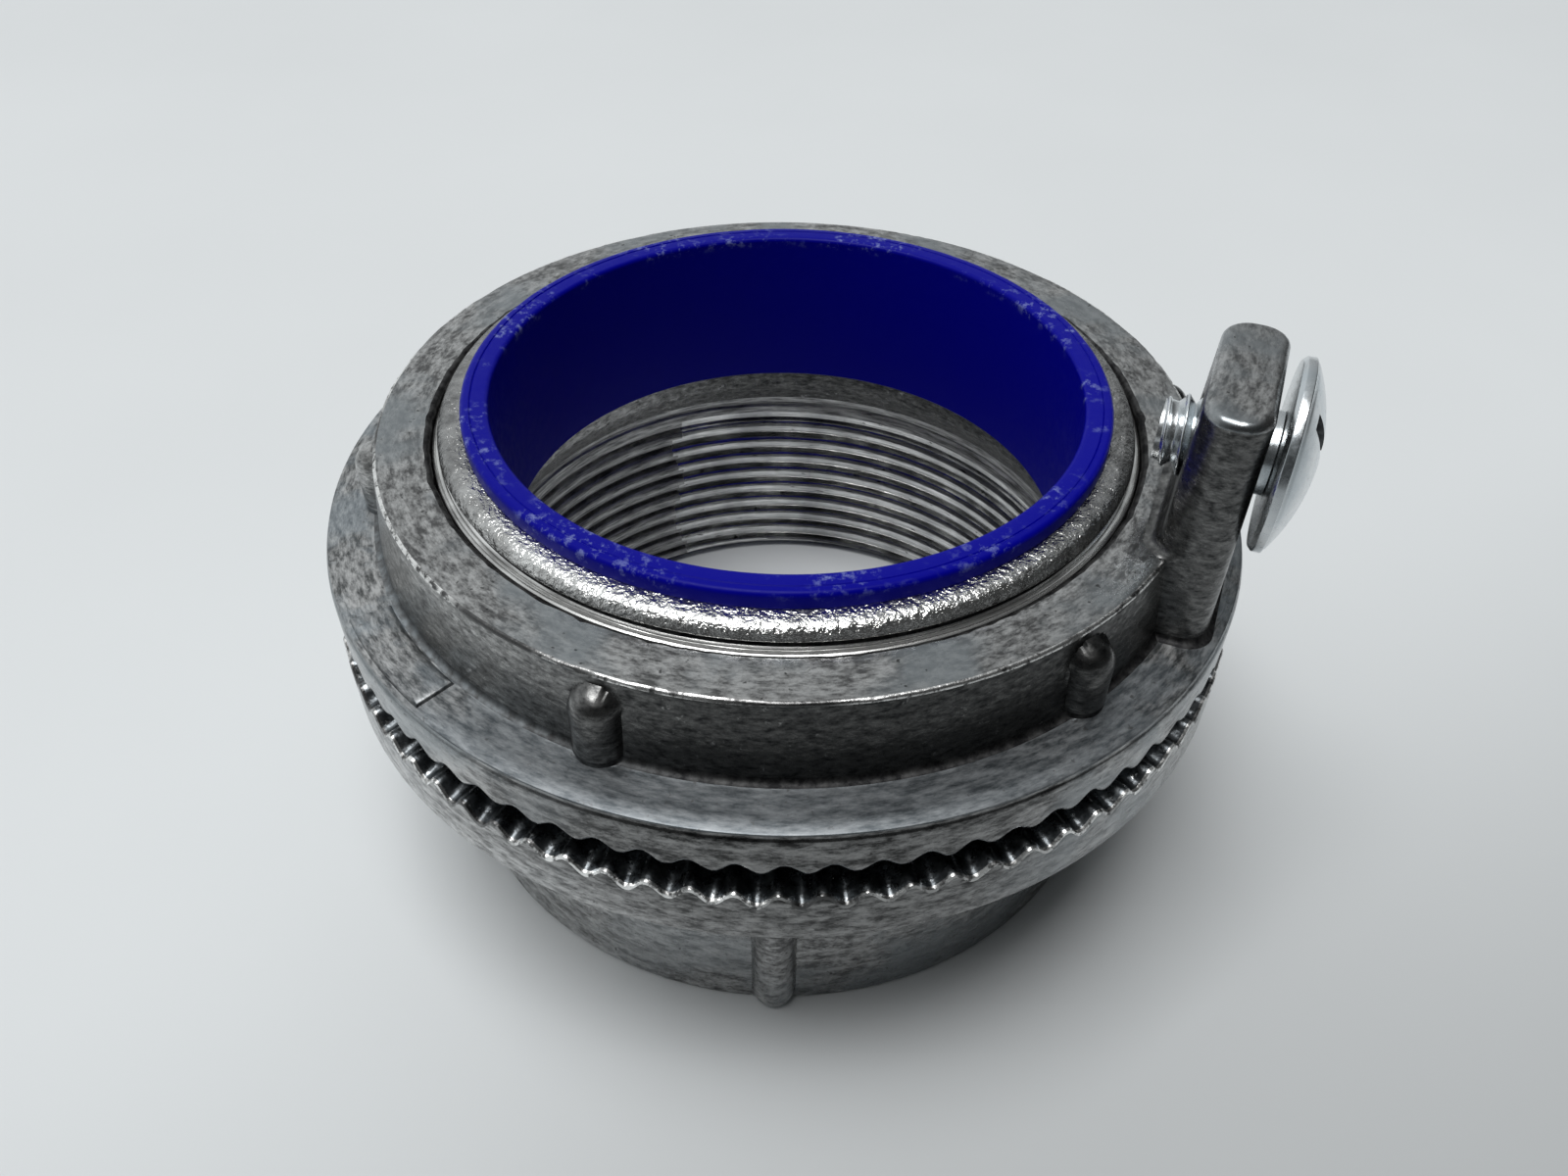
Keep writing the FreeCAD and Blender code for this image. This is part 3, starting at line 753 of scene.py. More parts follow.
def cove(rise, radius):
    """How far a cast fillet stands out at a rise above its foot."""
    share = min(max(rise / radius, 0), 1)
    return radius * (1 - math.sqrt(1 - (1 - share) ** 2))


def lug_section(sizes, height, inset=0):
    """The lug's rounded outline at a height, drawn in by an inset."""
    down = (sizes.lug_top - height) / (sizes.lug_top - sizes.flange_top)
    foot = cove(height - sizes.flange_top, sizes.lug_fillet)
    low = sizes.lug_inner - sizes.lug_lean * down - cove(height - sizes.ring_top, sizes.ring_fillet) + inset
    high = sizes.lug_outer + foot - inset
    half = sizes.lug_width / 2 + sizes.lug_spread * down + foot - inset
    corner = sizes.lug_corner - inset
    points = []
    for quarter, (along, across) in enumerate(((1, 1), (-1, 1), (-1, -1), (1, -1))):
        middle = (high - corner if along > 0 else low + corner, across * (half - corner))
        for step in range(CORNER_STEPS + 1):
            turn = (quarter + step / CORNER_STEPS) * math.pi / 2
            points.append((middle[0] + corner * math.cos(turn), middle[1] + corner * math.sin(turn), height))
    return points


def lug_block(sizes, screw):
    """The bonding lug: a drafted block with rounded corners, a flared foot and the screw's hole."""
    skin = Skin()
    foot = sizes.flange_top
    edge = sizes.lug_edge
    foot_heights = [foot + sizes.lug_fillet * share for share in (-0.8, *FILLET_STEPS)]
    heights = [
        *np.linspace(foot + 2 * MM, sizes.ring_top - 0.3 * MM, 5),
        *[sizes.ring_top + sizes.ring_fillet * share for share in FILLET_STEPS],
        *np.linspace(sizes.ring_top + 2.5 * MM, sizes.lug_top - edge, 8),
    ]
    top_loops = [
        lug_section(sizes, sizes.lug_top - edge + edge * math.sin(turn), edge * (1 - math.cos(turn)))
        for turn in np.radians((18, 36, 54, 72, 90))
    ]
    top_loops.append(lug_section(sizes, sizes.lug_top, 1.5 * edge))
    # The lug's foot gets the painted shade of inner corners and its sides the painted shade of walls.
    first, foot_end = skin.bands((lug_section(sizes, height) for height in foot_heights), SHADED_CORNER)
    sides_end = skin.carry_on(foot_end, (lug_section(sizes, height) for height in heights), SHADED_WALL)
    last = skin.carry_on(sides_end, top_loops, CAST)
    skin.face(reversed(first), SHADED_WALL)
    skin.face(last, CAST)
    block = skin.piece("lug_block", [])
    hole = screw.radius + HOLE_CLEARANCE
    along_x = Matrix.Translation((0, 0, screw.axis_height)) @ Matrix.Rotation(math.pi / 2, 4, "Y")
    draft = bmesh.new()
    bmesh.ops.create_cone(draft, cap_ends=True, segments=64, radius1=hole, radius2=hole, depth=DRILL_LENGTH,
                          matrix=along_x)
    cut_away(block, [finished_mesh("lug_drill", draft)])
    return block


# The flange's upper edge, with the mould's parting line under it: steps in from the rim and drops from
# the top, in millimetres.
PARTING_EDGE = ((0, 1.4), (0, 0.85), (0.04, 0.66), (0.11, 0.54), (0.19, 0.46), (0.23, 0.34), (0.20, 0.17),
                (0.24, 0.06), (0.36, 0), (1.6, 0))
# How far down its edge the flange's chilled finish goes.
CHILLED_DEPTH = 0.1 * MM
# The plate's rounded edge: steps in from its side and drops from its top, in millimetres.
PLATE_EDGE = ((0.08, 0.20), (0.2, 0.10), (0.4, 0.03), (0.7, 0))
# How far the plate reaches down into the flange, and the columns along it.
PLATE_ROOT = 0.2 * MM
PLATE_COLUMNS = 24


def add_plate(skin, sizes):
    """The bare raised plate on the flange: a thin curved slab with rounded edges."""
    inner = sizes.ring_radius + sizes.ring_draft + sizes.plate_margin
    outer = sizes.flange_radius - sizes.plate_margin
    top = sizes.flange_top + sizes.plate_height
    rows = [(0, sizes.flange_top - PLATE_ROOT), (0, sizes.flange_top)]
    rows += [(inset * MM, top - drop * MM) for inset, drop in PLATE_EDGE]
    loops = []
    for inset, height in rows:
        start = sizes.plate_start + inset / outer
        end = sizes.plate_start + sizes.plate_span - inset / outer
        near = np.linspace(start, end, PLATE_COLUMNS)
        far = np.linspace(end, start, PLATE_COLUMNS)
        sides = (round_loop(near, inner + inset, height), round_loop(far, outer - inset, height))
        loops.append(np.vstack(sides))
    for loop in skin.bands(loops, CHILLED):
        for index in range(PLATE_COLUMNS - 1):
            skin.face((loop[index], loop[index + 1], loop[-2 - index], loop[-1 - index]), CHILLED)


def nut_rim(skin, sizes, face_end):
    """The locknut's toothed flange, up to its upper face; gives the loop there."""
    rim = sizes.flange_radius
    root = sizes.tooth_tip + sizes.tooth_depth
    section = [
        (sizes.tooth_inner, root, 0),
        *tooth_section(sizes, 1),
        (rim, sizes.tooth_tip + 2.2 * TOOTH_EDGE, 0.92),
        (rim, root + 2 * TOOTH_EDGE, 0.2),
        *[(rim - step * MM, sizes.flange_top - drop * MM, 0) for step, drop in PARTING_EDGE],
    ]

    def finish_of(radius, height, share):
        if height > sizes.flange_top - CHILLED_DEPTH:
            return CHILLED
        # Toothed faces get painted shade.
        return NOTCHED if share == 1 else CAST

    return toothed_rim(skin, face_end, sizes, section, 1, finish_of)


# The ring's top edge is rounded from this far below its top. Burrs stand out along it and jags along the
# bore's edge: their reach, their size and the seeds of their unevenness.
RING_EDGE = 0.3 * MM
BURR_REACH = 0.10 * MM
BURR_SIZE = 1.0 * MM
BURR_SEED = 3.7
JAG_REACH = 0.3 * MM
JAG_SIZE = 1.3 * MM
JAG_SEED = 8.1
# The share of a burr's reach on each loop over the ring's top edge.
BURR_SHARES = (0, 0.3, 0.8, 1, 0.8, 0.3, 0)
# What still counts as level at the ring's foot, and the share of the foot's fillet that gets painted shade.
LEVEL_SLACK = 0.005 * MM
SHADED_CORNER_SHARE = 0.9


def nut_ring(skin, sizes, rim_end):
    """The locknut's ring with its wrench ears and worn top edge; gives the loop on its top."""
    ears = spaced(sizes.first_ear, sizes.ear_count)
    columns = crowded_angles(ears, POST_HALF_SPAN, EAR_COLUMNS, COLUMNS_BETWEEN)
    posts = (ears, sizes.ear_axis, sizes.ear_radius, 0, sizes.ring_top - sizes.ear_drop)
    foot = sizes.ring_radius + sizes.ring_draft
    wall = divided(rounded([
        (foot + 2.0 * MM, sizes.flange_top, 0),
        (foot, sizes.flange_top, sizes.foot_fillet),
        (sizes.ring_radius, sizes.ring_top - RING_EDGE, 0),
    ], 5), 0.3 * MM)
    loops = post_loops(columns, wall, posts)
    level_rows = sum(height < sizes.flange_top + LEVEL_SLACK for _, height in wall)
    corner_rows = sum(height < sizes.flange_top + SHADED_CORNER_SHARE * sizes.foot_fillet for _, height in wall)
    end = skin.carry_on(rim_end, loops[:level_rows], CHILLED)
    # The fillet at the ring's foot gets the painted shade of inner corners, the ring's wall the painted shade
    # of walls.
    end = skin.carry_on(end, loops[level_rows:corner_rows], SHADED_CORNER)
    wall_end = skin.carry_on(end, loops[corner_rows:], SHADED_WALL)

    burr = BURR_REACH * rough_line(columns, sizes.ring_radius, BURR_SIZE, BURR_SEED)
    crown = rounded([
        (sizes.ring_radius, sizes.ring_top - RING_EDGE, 0),
        (sizes.ring_radius, sizes.ring_top, 0.28 * MM),
        (sizes.ring_radius - 0.8 * MM, sizes.ring_top, 0),
    ])
    crown_loops = [round_loop(columns, radius + burr * share, height - abs(burr) * share * 0.5)
                   for (radius, height), share in zip(crown, BURR_SHARES)]
    start, crown_end = skin.bands(crown_loops[:-1], WORN)
    skin.band(wall_end, start, SHADED_WALL)
    return skin.carry_on(crown_end, crown_loops[-1:], CAST)


def locknut_skin(sizes, screw):
    """The locknut casting: bore, toothed flange, ring with wrench ears, raised plate and lug."""
    skin = Skin()
    root = sizes.tooth_tip + sizes.tooth_depth
    under = [(sizes.bore_radius, root), (sizes.tooth_inner - 0.8 * MM, root)]
    bore_end, face_end = skin.bands(plain_loops(under), CAST)
    rim_end = nut_rim(skin, sizes, face_end)
    ring_end = nut_ring(skin, sizes, rim_end)

    mouth = rounded([
        (sizes.bore_radius + 1.2 * MM, sizes.ring_top, 0),
        (sizes.bore_radius, sizes.ring_top, 0.45 * MM),
        (sizes.bore_radius, sizes.ring_top - 1.0 * MM, 0),
    ])
    jag = JAG_REACH * np.clip(rough_line(PLAIN_ANGLES, sizes.bore_radius, JAG_SIZE, JAG_SEED), 0, 1)
    mouth_loops = [round_loop(PLAIN_ANGLES, radius + jag, height) for radius, height in mouth]
    end = skin.carry_on(ring_end, mouth_loops[:2], CAST)
    # Inside the mouth the bore gets the painted shade of inner corners.
    end = skin.carry_on(end, mouth_loops[2:], SHADED_CORNER)
    skin.band(end, bore_end, CAST)
    add_plate(skin, sizes)
    block = lug_block(sizes, screw)
    skin.add_mesh(block.data)
    bpy.data.meshes.remove(block.data)
    return skin


# The liner's lip: where its witness line runs as a share of the rim's width, half the line's width, and the
# size and seed of the lip's unevenness, with how far it draws in and sinks.
WITNESS_SHARE = 0.36
WITNESS_HALF = 0.09 * MM
LIP_WAVE_SIZE = 2.5 * MM
LIP_SEED = 1.3
LIP_DRAWN_IN = 0.04 * MM
LIP_SUNK = 0.03 * MM


def liner_skin(sizes):
    """The throat liner: a sleeve with a lip, a witness line on its rim and edges that are a little uneven."""
    skin = Skin()
    witness = sizes.lip_radius - WITNESS_SHARE * (sizes.lip_radius - sizes.inner_radius)
    section = rounded([
        (sizes.inner_radius, sizes.bottom + 0.2 * MM, 0),
        (sizes.inner_radius + 0.2 * MM, sizes.bottom, 0),
        (sizes.outer_radius - 0.2 * MM, sizes.bottom, 0),
        (sizes.outer_radius, sizes.bottom + 0.3 * MM, 0),
        (sizes.outer_radius, sizes.seat, 0),
        (sizes.lip_radius, sizes.seat, 0.1 * MM),
        (sizes.lip_radius, sizes.top, 0.42 * MM),
        (witness + WITNESS_HALF, sizes.top, 0),
        (witness, sizes.top - 0.1 * MM, 0),
        (witness - WITNESS_HALF, sizes.top - 0.03 * MM, 0),
        (sizes.inner_radius, sizes.top - 0.05 * MM, 0.4 * MM),
        (sizes.inner_radius, sizes.bottom + 1 * MM, 0),
    ], 5)
    wobble = rough_line(PLAIN_ANGLES, sizes.lip_radius, LIP_WAVE_SIZE, LIP_SEED)
    loops = []
    for radius, height in section:
        share = np.clip((height - sizes.seat) / (sizes.top - sizes.seat), 0, 1)
        drawn_in = LIP_DRAWN_IN * share * np.abs(wobble)
        sunk = LIP_SUNK * share * wobble ** 2
        loops.append(round_loop(PLAIN_ANGLES, radius - drawn_in, height - sunk))
    first, last = skin.bands(loops)
    skin.band(last, first)
    return skin


def seal_skin(sizes):
    """The sealing ring: a rubber ring of rectangular section with rounded edges."""
    skin = Skin()
    middle = (sizes.bottom + sizes.top) / 2
    edge = 0.4 * MM
    section = rounded([
        (sizes.inner_radius, middle, 0),
        (sizes.inner_radius, sizes.bottom, edge),
        (sizes.outer_radius, sizes.bottom, edge),
        (sizes.outer_radius, sizes.top, edge),
        (sizes.inner_radius, sizes.top, edge),
        (sizes.inner_radius, middle + 0.1 * MM, 0),
    ])
    first, last = skin.bands(plain_loops(section))
    skin.band(last, first)
    return skin


# The screw's end: over how many pitches its crests taper, and by how much. Its thread fades at the neck over
# half a pitch.
TIP_PITCHES = 1.6
TIP_TAPER = 0.75 * MM
NECK_FADE = 0.5 * SCREW_PITCH
# The crown's loops run from the head's edge to near its middle, as shares of the head's radius.
DOME_SHARES = np.linspace(0.95, 0.04, 22)


def screw_skin(sizes):
    """The bonding screw, drawn along the hub's axis: thread, head and domed crown."""
    skin = Skin()
    angles = even_angles(SCREW_COLUMNS)

    def form(height, groove):
        start = np.clip((height - sizes.tip) / (TIP_PITCHES * SCREW_PITCH), 0, 1)
        crest = sizes.radius - TIP_TAPER * (1 - start)
        fade = np.clip((sizes.head_under - sizes.neck - height) / NECK_FADE, 0, 1)
        root = sizes.radius - sizes.thread_depth - 0.12 * MM
        return np.maximum(crest - sizes.thread_depth * groove * fade, root)

    thread = (sizes.tip, sizes.head_under - 0.1 * MM, SCREW_PITCH, SCREW_CREST)
    tip_end, neck_end = thread_rows(skin, thread, form, lambda angle, turn: 0, SCREW_COLUMNS)
    tip_loop = round_loop(angles, 0.7 * (sizes.radius - sizes.thread_depth), sizes.tip)
    skin.cap(skin.carry_on(tip_end, [tip_loop]), (0, 0, sizes.tip))

    rise = sizes.crown - sizes.head_under - sizes.head_rim
    crown_radius = (sizes.head_radius ** 2 + rise ** 2) / (2 * rise)
    head = rounded([
        (sizes.radius + 0.1 * MM, sizes.head_under, 0),
        (sizes.head_radius - 0.3 * MM, sizes.head_under, 0.12 * MM),
        (sizes.head_radius, sizes.head_under + 0.3 * MM, 0.12 * MM),
        (sizes.head_radius, sizes.head_under + sizes.head_rim, 0.1 * MM),
        (sizes.head_radius * 0.97, sizes.head_under + sizes.head_rim + 0.03 * rise, 0),
    ], 3)
    for share in DOME_SHARES:
        radius = sizes.head_radius * share
        head.append((radius, sizes.crown - crown_radius + math.sqrt(crown_radius ** 2 - radius ** 2)))
    crown_end = skin.carry_on(neck_end, [round_loop(angles, *point) for point in head])
    skin.cap(crown_end, (0, 0, sizes.crown))
    return skin


# The width of a recess's arm at its lower end, as a share of that at its upper end.
RECESS_NARROWING = 0.75


def recess_arm(name, size, place, finish):
    """A box for cutting, narrower at its lower end as a driver recess is; place is its turn and shift."""
    draft = bmesh.new()
    bmesh.ops.create_cube(draft, size=1)
    for vertex in draft.verts:
        narrow = RECESS_NARROWING if vertex.co.z < 0 else 1.0
        vertex.co = place @ (vertex.co * Vector((size[0] * narrow, size[1] * narrow, size[2])))
    mesh = finished_mesh(name, draft)
    mesh.materials.append(finish)
    return mesh


def cut_recess(piece, sizes, finish):
    """Cuts the cross recess and the slot that runs out on the dome."""
    place = Matrix.Translation((0, 0, sizes.crown)) @ Matrix.Rotation(sizes.recess_turn, 4, "Z")
    depth = 2 * sizes.recess_depth
    arms = (
        ("recess_upright", (sizes.recess_width, sizes.recess_span, depth)),
        ("recess_level", (sizes.recess_span, sizes.recess_width, depth)),
        ("driver_slot", (4 * sizes.head_radius, sizes.slot_width, 2 * sizes.slot_depth)),
    )
    cut_away(piece, [recess_arm(name, size, place, finish) for name, size in arms])


def cut_away(piece, tools):
    """Cuts meshes out of a piece, leaves their finish on the cut faces and removes them."""
    for mesh in tools:
        cut = piece.modifiers.new(mesh.name, "BOOLEAN")
        cut.operation = "DIFFERENCE"
        cut.solver = "EXACT"
        cut.material_mode = "TRANSFER"
        cut.object = added_object(mesh.name, mesh)
    view = bpy.context.evaluated_depsgraph_get()
    finished = bpy.data.meshes.new_from_object(piece.evaluated_get(view))
    piece.modifiers.clear()
    uncut = piece.data
    piece.data = finished
    for mesh in (uncut, *tools):
        bpy.data.meshes.remove(mesh)


# Materials.

def feed(tree, socket, source):
    """Links another node's output to a socket, or sets a constant on it."""
    if isinstance(source, bpy.types.NodeSocket):
        tree.links.new(source, socket)
    else:
        socket.default_value = source


def add_node(tree, kind, inputs, **settings):
    """A new node with its settings and its inputs, each a constant or another node's output."""
    node = tree.nodes.new(kind)
    for name, setting in settings.items():
        setattr(node, name, setting)
    for name, source in inputs.items():
        feed(tree, node.inputs[name], source)
    return node


# Where streaks along the turn keep their size, in millimetres from the axis.
STREAK_RADIUS = 37
# A stretch that leaves the coordinates as they are.
EVEN = (1, 1, 1)


class Shader:
    """A material's node tree, with short ways to add what the finishes share."""

    def __init__(self, name, metallic, roughness):
        self.material = bpy.data.materials.new(name)
        self.material.use_nodes = True
        self.tree = self.material.node_tree
        self.surface = self.tree.nodes["Principled BSDF"]
        self.surface.inputs["Metallic"].default_value = metallic
        self.surface.inputs["Roughness"].default_value = roughness
        self.place = self.node("ShaderNodeTexCoord", "Object", {})

    def node(self, kind, output, inputs, **settings):
        """An output of a new node."""
        return add_node(self.tree, kind, inputs, **settings).outputs[output]

    def stretched(self, scale):
        """Object coordinates in millimetres, stretched by a scale on each axis."""
        inputs = {"Vector": self.place, "Scale": [part / MM for part in scale]}
        return self.node("ShaderNodeMapping", "Vector", inputs)

    def part(self, vector, axis):
        """The part of a vector along an axis."""
        return self.node("ShaderNodeSeparateXYZ", axis, {"Vector": vector})

    def grain(self, place, scale, detail, roughness):
        """Noise at the places of an output, with features of about one over the scale."""
        inputs = {"Vector": place, "Scale": scale, "Detail": detail, "Roughness": roughness}
        return self.node("ShaderNodeTexNoise", "Fac", inputs)

    def speckle(self, scale, detail, roughness, stretch=EVEN):
        """Noise over the piece, with features of about one over the scale in millimetres."""
        return self.grain(self.stretched(stretch), scale, detail, roughness)

    def streaks(self, scale, detail, roughness, along, out):
        """Noise drawn out along the turn, with a scale along it and one outwards and upwards."""
        place = self.stretched((1, -1, 1))
        sides = {0: self.part(place, "X"), 1: self.part(place, "Y")}
        turn = self.node("ShaderNodeMath", "Value", sides, operation="ARCTAN2")
        level = {0: self.stretched((1, 1, 0))}
        radius = self.node("ShaderNodeVectorMath", "Value", level, operation="LENGTH")
        parts = {"X": turn, "Y": radius, "Z": self.part(place, "Z")}
        polar = self.node("ShaderNodeCombineXYZ", "Vector", parts)
        scaled = {0: polar, 1: (STREAK_RADIUS * along, out, out)}
        drawn = self.node("ShaderNodeVectorMath", "Vector", scaled, operation="MULTIPLY")
        return self.grain(drawn, scale, detail, roughness)

    def ramp(self, factor, low, high, start=0.0, end=1.0, curve="LINEAR"):
        """A factor stretched between two limits, as a value from start to end."""
        inputs = {"Value": factor, "From Min": low, "From Max": high, "To Min": start, "To Max": end}
        return self.node("ShaderNodeMapRange", "Result", inputs, interpolation_type=curve)

    def mix(self, factor, first, second):
        """Two colours mixed; each is a constant or an output."""
        inputs = {"Factor": factor}
        for name, source in (("A", first), ("B", second)):
            inputs[name] = source if isinstance(source, bpy.types.NodeSocket) else (*source, 1)
        return self.node("ShaderNodeMix", "Result", inputs, data_type="RGBA")

    def blend(self, factor, low, high, first, second, most=1.0):
        """Two colours mixed by a factor between two limits; most is the second one's largest share."""
        return self.mix(self.ramp(factor, low, high, 0.0, most), first, second)

    def drift(self, direction, low, high):
        """A slow change across the piece along a direction, from 0 at low to 1 at high, in millimetres."""
        inputs = {0: self.stretched(EVEN), 1: direction}
        along = self.node("ShaderNodeVectorMath", "Value", inputs, operation="DOT_PRODUCT")
        return self.ramp(along, low, high, curve="SMOOTHSTEP")

    def product(self, first, second):
        """Two factors multiplied."""
        return self.node("ShaderNodeMath", "Value", {0: first, 1: second}, operation="MULTIPLY")

    def bump(self, height, distance, strength):
        """A bump of a real depth in millimetres."""
        inputs = {"Height": height, "Distance": distance * MM, "Strength": strength}
        return self.node("ShaderNodeBump", "Normal", inputs)

    def uneven(self, scale, distance, strength, stretch=EVEN):
        """A softly uneven surface: a bump of plain noise."""
        return self.bump(self.speckle(scale, 2.0, 0.5, stretch), distance, strength)

    def finish(self, base, roughness=None, normal=None):
        """Links what varies to the surface and gives the material."""
        for source, name in ((base, "Base Color"), (roughness, "Roughness"), (normal, "Normal")):
            if source:
                feed(self.tree, self.surface.inputs[name], source)
        return self.material


# The side of the castings with painted light, where they are painted paler, the side with painted shade,
# where they are painted darker, the lug's side, the side of the nipple's end with a painted highlight, and
# down.
LIT_SIDE = (-0.931, -0.365, 0)
SHADED_SIDE = (0.365, -0.931, 0)
LUG_SIDE = (1, 0, 0)
HIGHLIGHT_SIDE = (0.25, -0.97, 0)
DOWN = (0, 0, -1)
# The stretch of a wall's unevenness, which is flatter than it is long.
WALL_STRETCH = (1, 1, 1.6)


def cast_skin(colours):
    """Die-cast zinc as it left the mould: mottled along the turn, smooth and bluish in patches, with painted
    shade on the rims of its front side and painted light low on its left side.
    """
    shader = Shader("cast_skin", 1.0, 0.3)
    mottle = shader.streaks(1.1, 10.0, 0.77, 0.5, 1.3)
    patches = shader.speckle(0.10, 4.0, 0.55)
    pits = shader.speckle(1.6, 2.0, 0.5)
    skin = shader.blend(mottle, 0.41, 0.60, colours.zinc_dark, colours.zinc_light)
    sheen = shader.blend(patches, 0.47, 0.60, skin, colours.zinc_blue, 0.7)
    # Painted shade: a darker copy of the skin, mixed in on the rims of the front side.
    dim = shader.blend(mottle, 0.41, 0.60, (0.035, 0.035, 0.035), (0.28, 0.28, 0.277))
    shaded = shader.mix(shader.drift(SHADED_SIDE, 31, 39), sheen, dim)
    # Painted light: a paler copy of the skin, mixed in low on the left side, on the hub's rim and barrel.
    pale = shader.blend(mottle, 0.40, 0.60, (0.15, 0.15, 0.15), (0.64, 0.64, 0.635))
    low_left = shader.product(shader.drift(LIT_SIDE, -6, 28), shader.drift(DOWN, -28, -20))
    sided = shader.mix(low_left, shaded, pale)
    base = shader.blend(pits, 0.29, 0.25, sided, (0.03, 0.03, 0.03), 0.8)
    normal = shader.uneven(0.9, 0.06, 0.8, WALL_STRETCH)
    return shader.finish(base, shader.ramp(mottle, 0.35, 0.65, 0.34, 0.20), normal)


def chilled_face(colours):
    """The flange's level face: chilled smooth and bluish, with worn patches streaked along the turn and
    painted shade on its front side.
    """
    shader = Shader("chilled_face", 1.0, 0.45)
    patches = shader.speckle(0.16, 4.0, 0.6)
    streaks = shader.streaks(1.3, 8.0, 0.74, 0.42, 1.4)
    specks = shader.speckle(1.4, 3.0, 0.6)
    smooth = shader.blend(streaks, 0.38, 0.62, (0.15, 0.17, 0.185), (0.38, 0.405, 0.42))
    worn = shader.blend(streaks, 0.41, 0.60, (0.08, 0.08, 0.078), colours.zinc_light)
    face = shader.blend(patches, 0.46, 0.58, smooth, worn, 0.85)
    # Painted shade: a darker copy of the face, mixed in on the front side.
    dim = shader.blend(streaks, 0.36, 0.64, (0.08, 0.09, 0.098), (0.25, 0.265, 0.275))
    shaded = shader.mix(shader.drift(SHADED_SIDE, 20, 36), face, dim)
    base = shader.blend(specks, 0.34, 0.28, shaded, colours.zinc_dark, 0.75)
    normal = shader.uneven(0.6, 0.05, 0.7)
    return shader.finish(base, shader.ramp(streaks, 0.35, 0.7, 0.40, 0.52), normal)


def streaked_wall_painted_shade(colours):
    """Walls that slid out of the mould, streaked: painted shade makes them dark on one side of the casting, a
    little less dark on the lug, and painted light makes them paler on the other.
    """
    shader = Shader("streaked_wall_painted_shade", 1.0, 0.3)
    streaks = shader.speckle(1.0, 10.0, 0.74, (1, 1, 2.4))
    scuffs = shader.speckle(1.2, 6.0, 0.7)
    # Painted shade: the walls are painted dark, less dark on the lug; painted light: they are painted pale on
    # the left side.
    skin = shader.blend(streaks, 0.36, 0.68, (0.02, 0.021, 0.022), (0.145, 0.145, 0.142))
    pale = shader.blend(streaks, 0.36, 0.66, colours.zinc_dark, (0.62, 0.62, 0.61))
    lug = shader.blend(streaks, 0.36, 0.68, (0.04, 0.041, 0.042), (0.27, 0.27, 0.265))
    walls = shader.mix(shader.drift(LUG_SIDE, 29, 33), skin, lug)
    sided = shader.mix(shader.drift(LIT_SIDE, 4, 30), walls, pale)
    base = shader.blend(scuffs, 0.63, 0.72, sided, colours.zinc_light, 0.6)
    normal = shader.uneven(0.9, 0.06, 0.8, WALL_STRETCH)
    return shader.finish(base, shader.ramp(streaks, 0.35, 0.65, 0.36, 0.24), normal)


def corner_painted_shade(colours):
    """Inner corners and narrow gaps, painted dark and dull as painted shade, but for the locknut's foot on
    its left side, which painted light makes paler.
    """
    shader = Shader("corner_painted_shade", 1.0, 0.6)
    blotches = shader.speckle(0.9, 6.0, 0.7)
    # Painted shade: inner corners painted dark.
    dark = shader.blend(blotches, 0.4, 0.7, (0.018, 0.018, 0.019), colours.zinc_dark)
    # Painted light: the foot of the locknut on the left side is painted paler.
    lit_corner = shader.blend(blotches, 0.35, 0.65, colours.zinc_dark, colours.zinc_blue)
    lit_foot = shader.product(shader.drift(LIT_SIDE, 4, 30), shader.drift(DOWN, -37, -35))
    base = shader.mix(lit_foot, dark, lit_corner)
    return shader.finish(base, None, shader.uneven(0.9, 0.06, 0.8))


def worn_edge(colours):
    """An edge rubbed bright in places and cast skin in others."""
    shader = Shader("worn_edge", 1.0, 0.3)
    rub = shader.speckle(1.4, 6.0, 0.7)
    where = shader.speckle(0.08, 3.0, 0.5)
    rubbed = shader.product(shader.ramp(rub, 0.40, 0.52), shader.ramp(where, 0.38, 0.52))
    base = shader.mix(rubbed, colours.zinc_dark, colours.zinc_bright)
    normal = shader.uneven(2.0, 0.05, 0.9)
    return shader.finish(base, shader.ramp(rub, 0.4, 0.6, 0.4, 0.2), normal)


def tooth_faces(colours):
    """The clamping teeth: painted shade makes them dark in the gap between the castings, with small bright
    chips where they have bitten.
    """
    shader = Shader("tooth_faces", 1.0, 0.3)
    chips = shader.speckle(1.2, 6.0, 0.75)
    notch_mottle = shader.speckle(0.7, 5.0, 0.6)
    # Painted shade: the toothed faces are painted dark, for the shade in the gap between the castings.
    dark = shader.blend(notch_mottle, 0.35, 0.65, (0.05, 0.055, 0.06), (0.20, 0.215, 0.225))
    base = shader.blend(chips, 0.60, 0.66, dark, colours.zinc_bright)
    normal = shader.uneven(1.3, 0.08, 0.9)
    return shader.finish(base, shader.ramp(chips, 0.5, 0.66, 0.32, 0.16), normal)


def bright_thread(colours):
    """The conduit thread where the tap cut it bright: fine lines along the crests, torn here and there."""
    shader = Shader("bright_thread", 1.0, 0.2)
    lines = shader.speckle(0.35, 5.0, 0.7, (1, 1, 26))
    chatter = shader.speckle(0.16, 4.0, 0.6, (1, 1, 0.5))
    tears = shader.speckle(0.7, 4.0, 0.6, (1, 1, 3))
    shade = shader.blend(chatter, 0.32, 0.66, (0.34, 0.345, 0.35), colours.zinc_bright)
    cut = shader.blend(lines, 0.36, 0.56, (0.30, 0.30, 0.295), shade)
    base = shader.blend(tears, 0.36, 0.3, cut, (0.06, 0.06, 0.06))
    normal = shader.uneven(0.3, 0.03, 0.6, (1, 1, 12))
    return shader.finish(base, shader.ramp(lines, 0.3, 0.7, 0.26, 0.12), normal)


